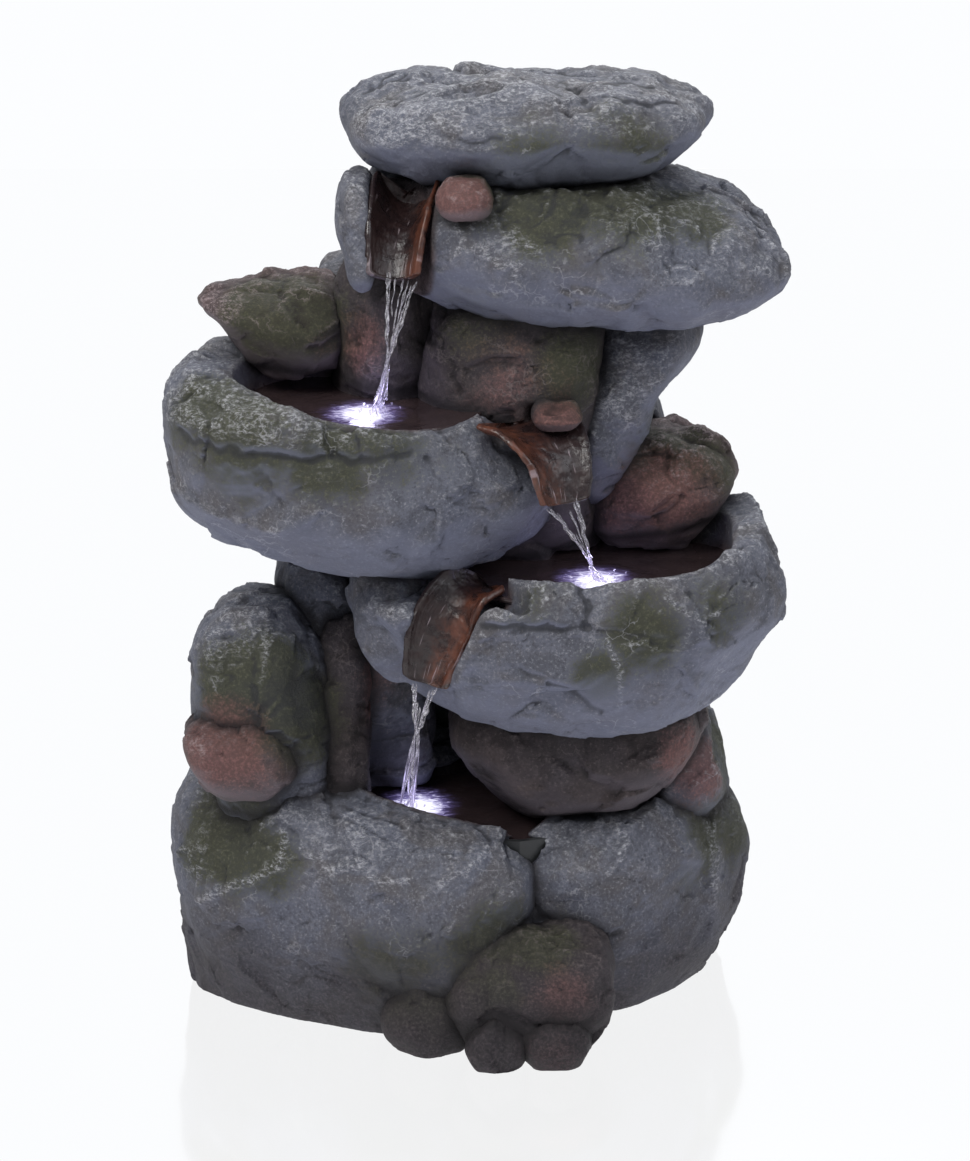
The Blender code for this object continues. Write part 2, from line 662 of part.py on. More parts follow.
def rear_shell_and_door():
    """The back of the fountain: a shell open towards the stones, with a lift-off door over the pump well."""
    outer = blank("rear_form", REAR_SHELL, rough=0.04, seed=30.0)
    room_rings = [(z, left + WALL, right - WALL, -0.060, back - WALL) for z, left, right, _, back in REAR_SHELL]
    room_rings[0] = (REAR_SHELL[0][0] - 0.02, *room_rings[0][1:])
    room_rings[-1] = (REAR_SHELL[-1][0] - WALL, *room_rings[-1][1:])
    room = blank("rear_room", room_rings, rough=0.0)
    shell = new_object("rear_shell", outer.data.copy(), "grey_stone")
    boolean(shell, room)
    boolean(shell, helper(box("front_of_shell", (-0.4, -0.4, -0.1), (0.4, 0.070, 0.9))))
    opening = helper(box("door_opening", (DOOR_LEFT, 0.120, DOOR_LOW), (DOOR_RIGHT, 0.240, DOOR_HIGH)))
    boolean(shell, opening)
    for other in ("base_tub", "rear_base_left", "rear_base_right", "lower_side_stone", "left_spur_stone",
                  "right_spur_stone", "left_back_pebble", "column_right_stone", "column_left_stone",
                  "left_basin", "right_basin", "upper_stone"):
        boolean(shell, BLANKS[other])
    smooth(shell, 50.0)

    door = new_object("access_door", outer.data.copy(), "grey_stone")
    c = CLEARANCE
    leaf = helper(box("door_leaf", (DOOR_LEFT + c, 0.122, DOOR_LOW + c), (DOOR_RIGHT - c, 0.238, DOOR_HIGH - c)))
    boolean(door, leaf, "INTERSECT")
    boolean(door, room)
    grip = helper(cylinder("door_grip", (0.5 * (DOOR_LEFT + DOOR_RIGHT), 0.2, 0.322), (1, 0, 0), -0.022, 0.022, 0.0195))
    boolean(door, grip)
    smooth(door, 50.0)


LIGHT_PLACES = {  # where each light stands: x, y, and the height of the floor under it
    "left": (-0.105, -0.068, 0.496),
    "right": (0.096, -0.068, 0.352),
    "base": (-0.060, -0.030, TUB_SHELF),
}
LEAD_EXITS = {"left": (-0.030, 0.452), "right": (0.086, 0.318)}  # x and height where a lead leaves the basin's back


def lead_hole(side):
    """The hole in a bowl's floor that a light's lead goes down through."""
    x, y, z = LIGHT_PLACES[side]
    return helper(cylinder(side + "_lead_hole", (x, y, z), (0, 0, 1), -0.016, 0.004, 0.004, sides=10))


def lead_exit(side):
    """The hole in a basin's back that a light's lead leaves by."""
    x, z = LEAD_EXITS[side]
    return helper(cylinder(side + "_lead_exit", (x, 0, z), (0, 1, 0), 0.060, 0.140, 0.006, sides=10))


def lights():
    """Three lights under water, their leads, and the sealed box that joins the leads."""
    for side, (x, y, z) in LIGHT_PLACES.items():
        foot = z + 0.0004
        top = foot + LIGHT_HIGH
        turned(
            side + "_light_housing", (x, y, 0), (0, 0, 1),
            [(foot, LIGHT_R - 0.0015), (foot + 0.0015, LIGHT_R), (top - 0.001, LIGHT_R), (top, LIGHT_R - 0.001)],
            "black_plastic",
        )
        turned(
            side + "_light_lens", (x, y, 0), (0, 0, 1),
            [(top + 0.0003, LIGHT_R - 0.002), (top + LENS_HIGH - 0.0012, LIGHT_R - 0.002), (top + LENS_HIGH, LIGHT_R - 0.005)],
            "light_lens",
        )
    left, right, base = LIGHT_PLACES["left"], LIGHT_PLACES["right"], LIGHT_PLACES["base"]
    exit_x, exit_z = LEAD_EXITS["left"]
    lead("left_light_lead", [
        (left[0], left[1], left[2] - 0.001), (left[0], left[1], 0.474), (left[0] + 0.010, -0.030, 0.458),
        (exit_x - 0.012, 0.030, exit_z), (exit_x, 0.060, exit_z), (exit_x, 0.108, exit_z), (exit_x + 0.010, 0.128, 0.430),
        (-0.005, 0.138, 0.380), (0.050, 0.140, 0.320), (0.097, 0.122, 0.296), (0.100, 0.118, 0.2760),
    ])
    exit_x, exit_z = LEAD_EXITS["right"]
    lead("right_light_lead", [
        (right[0], right[1], right[2] - 0.001), (right[0], right[1], 0.334), (0.094, -0.020, 0.322),
        (exit_x, 0.045, exit_z), (exit_x, 0.096, exit_z), (0.096, 0.110, 0.306), (0.112, 0.118, 0.2900), (0.112, 0.118, 0.2760),
    ])
    lead("base_light_lead", [
        (base[0], base[1] + LIGHT_R + 0.0012, TUB_SHELF + 0.006), (-0.058, 0.012, 0.118), (-0.046, 0.050, 0.136),
        (-0.010, 0.104, 0.166), (0.040, 0.136, 0.192), (0.092, 0.126, 0.206), (0.104, 0.118, 0.2200), (0.104, 0.118, 0.2342),
    ])
    rounded_box("light_junction_box", (0.088, 0.104, 0.235), (0.126, 0.132, 0.275), 0.003, "black_plastic")


def rounded_box(name, low, high, radius, finish=None):
    """A box with a small round on every edge."""
    made = box(name, low, high, finish)
    bevel = made.modifiers.new("bevel", "BEVEL")
    bevel.width = radius
    bevel.segments = 2
    smooth(made)
    return made


PUMP_LEFT, PUMP_RIGHT, PUMP_FRONT, PUMP_BACK = 0.028, 0.092, 0.080, 0.126
PUMP_LOW, PUMP_HIGH = 0.0140, 0.0600
PUMP_Y = 0.5 * (PUMP_FRONT + PUMP_BACK)
PUMP_Z = 0.5 * (PUMP_LOW + PUMP_HIGH)
CHAMBER_R, CHAMBER_DEEP = 0.0150, 0.014
ROTOR_WELL_R, ROTOR_WELL_END = 0.0078, 0.0600
COVER_LEFT, COVER_WALL = 0.004, 0.0022
PORT_X = PUMP_LEFT + 0.010


def pump():
    """The pump in the well: a body with its chamber and outlet, a rotor, a slotted cover and a flow dial."""
    body = rounded_box(
        "pump_body", (PUMP_LEFT, PUMP_FRONT, PUMP_LOW), (PUMP_RIGHT, PUMP_BACK, PUMP_HIGH), 0.003, "black_plastic"
    )
    centre = (0, PUMP_Y, PUMP_Z)
    barb = helper(turned("barb", (PORT_X, PUMP_Y, 0), (0, 0, 1),
                         [(PUMP_HIGH - 0.004, 0.0075), (PUMP_HIGH + 0.004, 0.0075), (PUMP_HIGH + 0.0042, 0.0048),
                          (PUMP_HIGH + 0.018, 0.0048)]))
    boolean(body, barb, "UNION")
    boolean(body, helper(cylinder("chamber", centre, (1, 0, 0), PUMP_LEFT - 0.01, PUMP_LEFT + CHAMBER_DEEP, CHAMBER_R)))
    boolean(body, helper(cylinder("rotor_well", centre, (1, 0, 0), PUMP_LEFT, PUMP_LEFT + ROTOR_WELL_END - 0.012, ROTOR_WELL_R)))
    port = helper(cylinder("port", (PORT_X, PUMP_Y, 0), (0, 0, 1), PUMP_Z, PUMP_HIGH + 0.03, 0.0034, sides=12))
    boolean(body, port)

    rotor = cylinder("impeller", centre, (1, 0, 0), PUMP_LEFT + 0.0015, PUMP_LEFT + 0.044, 0.0068, "grey_plastic")
    for turn in (0, 60, 120):
        blade = helper(box("blade_%d" % turn, (PUMP_LEFT + 0.0015, -0.0007, -0.0132), (PUMP_LEFT + 0.0115, 0.0007, 0.0132)))
        blade.data.transform(Matrix.Translation(centre) @ Matrix.Rotation(math.radians(turn), 4, "X"))
        boolean(rotor, blade, "UNION")

    cover = rounded_box(
        "pump_intake_cover", (COVER_LEFT, PUMP_FRONT, PUMP_LOW), (PUMP_LEFT - 0.0004, PUMP_BACK, PUMP_HIGH), 0.002,
        "black_plastic",
    )
    w = COVER_WALL
    boolean(cover, helper(box("cover_room", (COVER_LEFT + w, PUMP_FRONT + w, PUMP_LOW + w), (PUMP_LEFT + 0.01, PUMP_BACK - w, PUMP_HIGH - w))))
    slots = helper(box("cover_slots", (COVER_LEFT - 0.01, PUMP_FRONT + 0.005, PUMP_LOW + 0.0060), (COVER_LEFT + 0.01, PUMP_BACK - 0.005, PUMP_LOW + 0.0095)))
    rows = slots.modifiers.new("rows", "ARRAY")
    rows.count = 3
    rows.use_relative_offset = False
    rows.use_constant_offset = True
    rows.constant_offset_displace = (0, 0, 0.0065)
    boolean(cover, slots)
    dial_z = PUMP_HIGH - 0.0120
    boolean(cover, helper(cylinder("dial_hole", (0, PUMP_Y, dial_z), (1, 0, 0), COVER_LEFT - 0.01, COVER_LEFT + 0.01, 0.0034)))
    dial = turned("flow_dial", (0, PUMP_Y, dial_z), (1, 0, 0),
                  [(COVER_LEFT - 0.0050, 0.0070), (COVER_LEFT - 0.0004, 0.0078), (COVER_LEFT - 0.00035, 0.0030),
                   (COVER_LEFT + w + 0.002, 0.0030)], "grey_plastic")
    pointer = helper(box("dial_pointer", (COVER_LEFT - 0.0070, PUMP_Y - 0.0010, dial_z - 0.0060), (COVER_LEFT - 0.0040, PUMP_Y + 0.0010, dial_z + 0.0060)))
    boolean(dial, pointer, "UNION")

    number = 0
    for x in (PUMP_LEFT + 0.010, PUMP_RIGHT - 0.010):
        for y in (PUMP_FRONT + 0.010, PUMP_BACK - 0.010):
            number += 1
            turned("suction_cup_%d" % number, (x, y, 0), (0, 0, 1),
                   [(TUB_FLOOR + 0.0003, 0.0082), (TUB_FLOOR + 0.0012, 0.0080), (TUB_FLOOR + 0.0035, 0.0040),
                    (PUMP_LOW - 0.0003, 0.0036)], "black_rubber", 14)


NOZZLE_FROM, NOZZLE_AIM = (-0.063, 0.002, 0.706), (0.0, -1.0, 0.0)  # in the upper stone's wall, pointing into its niche


def nozzle_hole():
    return helper(cylinder("nozzle_hole", NOZZLE_FROM, NOZZLE_AIM, -0.030, 0.080, 0.0092))


def hose_and_nozzle():
    """The riser hose from the pump up the back into the upper stone, and the nozzle that it ends on."""
    aim = Vector(NOZZLE_AIM).normalized()
    start = Vector(NOZZLE_FROM)
    route = smooth_route([
        (PORT_X, PUMP_Y, PUMP_HIGH + 0.0046), (PORT_X, PUMP_Y, 0.100), (HOSE_X, HOSE_Y, 0.150), (HOSE_X, HOSE_Y, 0.300),
        (HOSE_X, HOSE_Y, 0.450), (HOSE_X, HOSE_Y - 0.002, 0.590), (HOSE_X - 0.002, HOSE_Y - 0.006, 0.650),
        (HOSE_X - 0.030, HOSE_Y - 0.018, 0.690), start - aim * 0.048, start - aim * 0.028, start - aim * 0.0084,
    ], 2)
    outer = route_rings(route, HOSE_R, 12)
    bore = route_rings(route, HOSE_BORE_R, 12)
    smooth(solid_from_rings("riser_hose", outer + bore[::-1], "clear_vinyl", loop=True), 60.0)
    turned("spout_nozzle", start, aim,
           [(-0.022, 0.0048), (-0.008, 0.0048), (-0.0078, 0.0088), (0.030, 0.0088), (0.030, 0.0036), (-0.022, 0.0036)],
           "black_plastic", sides=24, loop=True)
    for name, centre, axis in (
        ("lower_hose_clamp", (PORT_X, PUMP_Y, PUMP_HIGH + 0.010), (0, 0, 1)),
        ("upper_hose_clamp", start - aim * 0.0160, aim),
    ):
        turned(name, centre, axis, [(-0.003, 0.0074), (-0.003, 0.0088), (0.003, 0.0088), (0.003, 0.0074)], "steel", loop=True)


GROMMET_AT = (-0.110, 0.030)  # x and height of the way out for a supply lead


def grommet_seat():
    x, z = GROMMET_AT
    return helper(turned("grommet_seat", (x, 0, z), (0, 1, 0), [(0.150, 0.0080), (0.1925, 0.0080), (0.1926, 0.0110), (0.230, 0.0110)]))


def cable_grommet():
    x, z = GROMMET_AT
    turned("cable_grommet", (x, 0, z), (0, 1, 0),
           [(0.183, 0.0035), (0.183, 0.0077), (0.1929, 0.0077), (0.1929, 0.0106), (0.1960, 0.0106), (0.1960, 0.0035)],
           "black_rubber", sides=24, loop=True)


OUTLETS = {  # the water's route out of each basin, the channel's width along it, and what its bed faces at the low end
    "top": ([(-0.064, -0.046, 0.704), (-0.063, -0.078, 0.700), (-0.064, -0.104, 0.690), (-0.066, -0.120, 0.672)],
            (0.030, 0.030, 0.028, 0.026), (0, 0, 1)),
    "left": ([(0.018, -0.108, 0.5430), (0.042, -0.122, 0.5390), (0.060, -0.134, 0.522), (0.067, -0.142, 0.494)],
             (0.050, 0.052, 0.044, 0.030), (0, 0, 1)),
    "right": ([(0.004, -0.116, 0.4030), (-0.020, -0.128, 0.4000), (-0.037, -0.135, 0.374), (-0.050, -0.135, 0.334)],
              (0.034, 0.036, 0.038, 0.028), (-0.1, -1, 0.3)),
}


def outlet_notch(side):
    """A cut through a basin's rim and down its face, which its channel lies in."""
    route, widths, face = OUTLETS[side]
    rings = channel_rings(smooth_route(route, 3), widths, face, filled=True)
    return helper(solid_from_rings(side + "_notch", rings))


def channel_rings(route, widths, face, filled=False):
    """Sections of a channel across its route: a shallow U, or the space that a filled one takes up."""
    rings = []
    last = len(route) - 1
    for i, point in enumerate(route):
        ahead = (route[min(i + 1, last)] - route[max(i - 1, 0)]).normalized()
        side = ahead.cross(Vector((0, 0, 1)).lerp(Vector(face), i / last)).normalized()
        up = side.cross(ahead)
        place = i / last * (len(widths) - 1)
        base = min(int(place), len(widths) - 2)
        half = (widths[base] + (widths[base + 1] - widths[base]) * (place - base)) / 2
        steps = 5
        bed = [-math.pi / 2 + math.pi * k / steps for k in range(steps + 1)]
        grow = GAP + 0.003 if filled else 0.003
        outer = [point + side * (half + grow) * math.sin(a) - up * (0.011 + grow) * math.cos(a) for a in bed]
        if filled:
            lid = [point + side * (half + grow) * s + up * 0.034 for s in (1, -1)]
            rings.append(outer + lid)
        else:
            inner = [point + side * half * math.sin(a) - up * 0.011 * math.cos(a) for a in reversed(bed)]
            lips = [p + up * 0.004 for p in (outer[-1], inner[0])]
            far = [p + up * 0.004 for p in (inner[-1], outer[0])]
            rings.append(outer + lips + inner + far)
    return rings


def channels():
    """The three copper-coloured channels that pour the water into the next basin."""
    for side, (route, widths, face) in OUTLETS.items():
        made = solid_from_rings(side + "_channel", channel_rings(smooth_route(route, 3), widths, face), "copper_channel")
        if side == "top":
            boolean(made, BLANKS["upper_stone"])
        smooth(made)


for left_over in list(bpy.data.objects):
    bpy.data.objects.remove(left_over)
base_tub()
base_stones()
tier_stones()
lower_stones()
rear_shell_and_door()
channels()
lights()
pump()
hose_and_nozzle()
cable_grommet()
for made in bpy.data.objects:
    made.location = (-MIDDLE_X, -MIDDLE_Y, 0)
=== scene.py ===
"""Looks of the tiered rock water fountain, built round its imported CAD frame."""

import json
import math

import bmesh
import bpy
import numpy as np
from mathutils import Matrix, Vector, noise
from mathutils.bvhtree import BVHTree


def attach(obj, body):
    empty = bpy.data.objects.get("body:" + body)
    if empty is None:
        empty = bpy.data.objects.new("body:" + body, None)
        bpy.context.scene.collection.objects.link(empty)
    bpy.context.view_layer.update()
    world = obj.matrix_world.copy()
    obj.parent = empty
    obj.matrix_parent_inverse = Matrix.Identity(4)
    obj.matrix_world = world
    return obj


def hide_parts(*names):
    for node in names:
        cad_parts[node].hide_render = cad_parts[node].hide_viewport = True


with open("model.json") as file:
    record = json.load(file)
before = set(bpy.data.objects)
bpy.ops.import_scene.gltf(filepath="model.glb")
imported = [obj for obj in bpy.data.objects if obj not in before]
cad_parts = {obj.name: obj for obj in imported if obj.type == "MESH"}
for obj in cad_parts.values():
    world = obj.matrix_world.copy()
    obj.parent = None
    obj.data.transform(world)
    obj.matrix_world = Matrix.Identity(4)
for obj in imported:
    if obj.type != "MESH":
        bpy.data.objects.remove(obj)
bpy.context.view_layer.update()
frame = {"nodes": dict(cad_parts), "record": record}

# The stones were drawn round the base of the stack, and the CAD was then moved to the middle of its box.
PLACE = Vector((0.0125, -0.0024, 0.0))
VOXEL = 0.0023

BODY = "fountain"
VIEW_DOWN = math.radians(18)
FORM_SIDES = 64  # points round a stone's section
BED_POINTS = 17  # points across a channel's bed
TROUGH_WALL = 0.004
GROWN_CLEAR = 0.0025  # room left between a channel and the rock round it
CUTTER_VOXEL = 0.0022
# reach of the painted shade where stones meet
CONTACT_SHADE_REACH = 0.028
CHIP_EDGE = 0.30  # width of a chip's rounded edge, as a share of the chip
POOL_RINGS = 70
STRAND_SIDES = 8
MOSS_COLOUR = (0.034, 0.035, 0.018)
RUST_COLOUR = (0.120, 0.056, 0.050)


def form(seed, *rings, slot="grey_stone", **more):
    """A stone's form: its sections from the bottom up, each a height, left, right, front and back in millimetres."""
    return dict(seed=seed, rings=[[v / 1000 for v in ring] for ring in rings], slot=slot, **more)


# ---------------------------------------------------------------- stones, bowls and channels
STONES = {
    "cap_stone": form(
        0.7, (732, -52, 122, -72, 80), (742, -84, 150, -90, 92), (757, -110, 167, -110, 108),
        (776, -122, 179, -120, 114), (793, -120, 174, -107, 112), (806, -95, 142, -72, 94),
        (811, -45, 85, -15, 60),
    ),
    "upper_stone": form(
        1.3, (612, 45, 165, -55, 60), (623, 0, 217, -98, 95), (643, -62, 248, -126, 118),
        (667, -98, 258, -136, 128), (692, -110, 245, -134, 128), (716, -110, 205, -118, 116),
        (734, -92, 150, -90, 90), cuts=("niche",),
    ),
    "spout_cheek_stone": form(
        4.4, (652, -106, -92, -98, -60), (668, -112, -88, -120, -40), (700, -118, -89, -116, -22),
        (728, -120, -91, -104, -18), (744, -114, -96, -90, -30),
    ),
    "spout_pebble": form(
        9.1, (716, -28, -4, -124, -100), (724, -37, 4, -136, -90), (736, -38, 6, -138, -86),
        (748, -30, -2, -128, -92), slot="red_stone",
    ),
    "column_centre_stone": form(
        12.0, (404, -50, 94, -30, 66), (440, -56, 98, -58, 78), (480, -58, 100, -78, 84), (530, -60, 102, -92, 86),
        (575, -56, 104, -98, 86), (615, -50, 100, -88, 84), (645, -38, 88, -66, 76), slot="brown_stone",
        cuts=("left_gap",),
    ),
    "column_left_stone": form(
        13.0, (500, -116, -40, -8, 70), (535, -128, -34, -40, 80), (580, -130, -30, -56, 86),
        (630, -126, -32, -60, 84), (672, -112, -44, -52, 70), slot="brown_stone",
    ),
    "column_right_stone": form(
        16.0, (430, 56, 90, -10, 60), (466, 56, 108, -40, 78), (506, 62, 138, -58, 88), (548, 70, 152, -64, 92),
        (580, 76, 178, -60, 92), (606, 80, 186, -46, 88), (632, 90, 170, -30, 76), cuts=("left_gap",),
    ),
    "column_seat_pebble": form(
        17.0, (540, 46, 72, -116, -92), (549, 38, 80, -126, -82), (560, 42, 74, -122, -84), slot="red_stone",
        look="brown_stone",
    ),
    "left_spur_stone": form(
        18.0, (566, -192, -120, -30, 46), (584, -210, -108, -44, 60), (604, -228, -102, -48, 66),
        (622, -242, -104, -38, 60), (635, -224, -120, -20, 50), (642, -196, -146, 0, 34), look="red_stone", turn=8,
    ),
    "left_back_pebble": form(
        19.0, (602, -136, -104, 50, 100), (622, -146, -96, 40, 108), (640, -136, -100, 48, 100),
        (648, -122, -108, 60, 86),
    ),
    "left_basin": form(
        2.9, (409, -118, -22, -90, 30), (421, -182, 6, -122, 62), (441, -230, 34, -148, 88),
        (466, -264, 52, -166, 100), (492, -266, 56, -176, 104), (518, -260, 50, -179, 104),
        (544, -264, 36, -176, 102), (564, -248, 12, -166, 94), slope=(-0.13, 0.06), cuts=("left_bowl", "left_way"),
    ),
    "right_spur_stone": form(
        20.0, (405, 104, 178, -10, 70), (424, 88, 196, -30, 88), (444, 84, 213, -38, 98), (464, 86, 223, -36, 100),
        (484, 92, 214, -26, 94), (500, 112, 190, -6, 78), slot="red_stone",
    ),
    "right_basin": form(
        7.7, (268, 35, 140, -92, 50), (281, -18, 180, -132, 70), (303, -44, 212, -154, 82),
        (333, -70, 238, -168, 88), (364, -92, 250, -176, 90), (392, -110, 250, -176, 90),
        (416, -116, 246, -166, 86), slope=(0.17, 0.0), cuts=("right_bowl", "right_way", "right_front"),
        adds=(
            form(
                7.1, (374, -6, 78, -164, -120), (390, -16, 90, -176, -112), (408, -14, 90, -176, -118),
                (423, 2, 70, -164, -128),
            ),
            form(
                7.4, (318, -90, -50, -100, -30), (346, -106, -52, -116, -16), (384, -112, -56, -118, -10),
                (418, -104, -50, -96, -20),
            ),
        ),
    ),
    "standing_grey_stone": form(
        24.0, (172, -232, -128, -80, 30), (220, -246, -126, -92, 40), (268, -256, -130, -98, 44),
        (312, -255, -138, -94, 42), (346, -244, -150, -82, 34), (368, -226, -170, -64, 20),
    ),
    "standing_dark_stone": form(
        25.0, (172, -128, -52, 22, 82), (230, -142, -46, -4, 84), (290, -164, -58, -30, 86),
        (334, -180, -88, -32, 84), (370, -184, -112, -26, 76), (392, -174, -138, -12, 56), slot="brown_stone",
        look="grey_stone",
    ),
    "pool_side_stone": form(
        26.0, (176, -158, -104, -66, -16), (208, -164, -98, -72, -10), (252, -160, -98, -68, -6),
        (292, -154, -98, -60, -4), (326, -146, -106, -48, -8), (350, -136, -116, -36, -18), slot="brown_stone",
    ),
    "red_stone": form(
        23.0, (208, -228, -178, -104, -40), (224, -244, -164, -116, -30), (246, -254, -158, -120, -26),
        (264, -256, -166, -114, -30), (277, -240, -190, -100, -44), slot="red_stone",
    ),
    "lower_column_stone": form(
        21.0, (176, 24, 120, -50, 56), (196, -6, 160, -86, 70), (226, -26, 186, -102, 76),
        (256, -32, 192, -104, 76), (286, -20, 182, -92, 68), slot="brown_stone",
    ),
    "lower_side_stone": form(
        22.0, (140, 136, 206, -10, 110), (170, 132, 218, -34, 124), (206, 134, 214, -38, 126),
        (240, 138, 202, -32, 120), (268, 146, 190, -14, 104),
    ),
    "left_boulder": form(
        3.1, (0, -282, 24, -110, 26), (40, -286, 40, -124, 34), (90, -286, 52, -136, 40),
        (135, -290, 56, -136, 40), (170, -276, 46, -126, 34), (194, -244, 14, -104, 14),
        (208, -200, -60, -74, -14), turn=-24, slope=(-0.12, 0.0), cuts=("tub_room", "pool_mouth"),
    ),
    "right_boulder": form(
        8.4, (0, -6, 220, -66, 90), (40, -18, 232, -82, 100), (85, -26, 240, -92, 104), (130, -26, 234, -92, 100),
        (164, -14, 216, -82, 88), (186, 16, 188, -60, 66), turn=42, cuts=("tub_room", "pool_mouth"),
    ),
    "round_front_stone": form(
        5.2, (0, -20, 92, -172, -90), (30, -38, 108, -188, -84), (60, -42, 112, -190, -80),
        (88, -26, 104, -174, -76), (106, 10, 80, -144, -80), slot="brown_stone",
    ),
    "toe_stone_left": form(
        11.0, (0, -80, -18, -168, -96), (22, -86, -12, -174, -92), (44, -80, -12, -168, -88),
        (66, -62, -22, -146, -94), slot="brown_stone",
    ),
    "toe_stone_middle": form(
        12.0, (0, -12, 34, -200, -140), (16, -18, 40, -204.5, -138), (32, -12, 34, -198, -140),
        (44, 0, 22, -186, -150), slot="brown_stone",
    ),
    "toe_stone_right": form(
        13.0, (0, 34, 84, -198, -140), (18, 28, 90, -204.5, -138), (34, 34, 84, -198, -142),
        (46, 44, 70, -186, -150), slot="brown_stone",
    ),
    "rear_base_left": form(
        14.3, (0, -238, -12, 60, 196), (50, -248, -6, 50, 204), (110, -250, -4, 50, 204),
        (155, -238, -10, 56, 196), (182, -206, -30, 80, 180), cuts=("tub_room", "grommet_way"),
    ),
    "rear_base_right": form(
        15.9, (0, 0, 206, 70, 198), (50, -6, 214, 60, 205), (105, -6, 216, 60, 205), (150, 0, 206, 66, 196),
        (180, 24, 180, 90, 180), cuts=("tub_room",),
    ),
}

BOWLS = {
    "left_bowl": form(
        2.0, (496, -170, -46, -108, -10), (506, -192, -24, -130, 12), (530, -206, -8, -144, 28),
        (560, -212, 2, -150, 34), (640, -220, 6, -154, 38), dents=((218, 26, 0.15),),
    ),
    "right_bowl": form(
        6.0, (352, 34, 160, -112, -12), (362, 10, 186, -134, 10), (386, -4, 204, -147, 26),
        (414, -10, 214, -154, 34), (520, -12, 218, -156, 36),
    ),
    "niche": form(
        1.0, (630, -130, -44, -200, -70), (680, -130, -44, -200, -52), (724, -130, -42, -200, -34),
        (760, -130, -42, -200, -30), rough=0.0,
    ),
    "pool_mouth": form(0.0, (170, -112, 74, -86, 50), (230, -121, 83, -92, 55), (300, -130, 92, -98, 60), rough=0.04),
}

TUB_OUTLINE = [
    (-0.225, 0.045), (-0.135, -0.040), (-0.020, -0.098), (0.075, -0.088),
    (0.150, 0.000), (0.185, 0.080), (0.182, 0.150), (0.080, 0.168), (-0.080, 0.168), (-0.215, 0.150),
]

# Where the water runs over each rim: the channel's route, half width and side wall height along it
CHANNELS = {
    "top_channel": dict(
        route=[(-0.063, -0.044, 0.716), (-0.064, -0.064, 0.712), (-0.068, -0.092, 0.698), (-0.073, -0.116, 0.667)],
        half=(0.019, 0.020, 0.018, 0.015), wall=(0.030, 0.032, 0.026, 0.012), seed=31, bright=-1, shade=-0.42,
    ),
    "left_channel": dict(
        route=[(0.024, -0.098, 0.541), (0.042, -0.116, 0.537), (0.057, -0.134, 0.518), (0.063, -0.143, 0.487)],
        half=(0.036, 0.033, 0.024, 0.016), wall=(0.012, 0.012, 0.011, 0.008), seed=32, bright=1, shade=-0.08,
    ),
    "right_channel": dict(
        route=[(0.004, -0.112, 0.404), (-0.020, -0.127, 0.403), (-0.038, -0.136, 0.372), (-0.050, -0.138, 0.330)],
        half=(0.017, 0.018, 0.019, 0.0125), wall=(0.010, 0.010, 0.010, 0.007), seed=33, bright=-1, shade=-0.10,
        face=(-0.10, -1.0, 0.30),
    ),
}
# Water levels, the middle of each light's glow, and each fall: its lip's two ends, its waist and its foot
POOLS = {
    "left_pool": dict(level=0.5500, bowl="left_bowl", glow=(-0.101, -0.094), foot=(-0.088, -0.097)),
    "right_pool": dict(level=0.4050, bowl="right_bowl", glow=(0.094, -0.094), foot=(0.095, -0.100)),
    "base_pool_water": dict(level=0.1680, bowl=None, glow=(-0.060, -0.014), foot=(-0.072, -0.030)),
}
FALLS = {
    "top_fall": dict(
        seed=1, left=(-0.079, -0.118, 0.674), right=(-0.055, -0.118, 0.667),
        waist=(-0.080, -0.106, 0.592), foot=(-0.088, -0.097, 0.550),
    ),
    "left_fall": dict(
        seed=2, left=(0.050, -0.146, 0.484), right=(0.074, -0.143, 0.492),
        waist=(0.088, -0.118, 0.428), foot=(0.095, -0.100, 0.405),
    ),
    "right_fall": dict(
        seed=3, left=(-0.060, -0.140, 0.330), right=(-0.040, -0.140, 0.328),
        waist=(-0.059, -0.118, 0.268), foot=(-0.071, -0.030, 0.168),
    ),
}
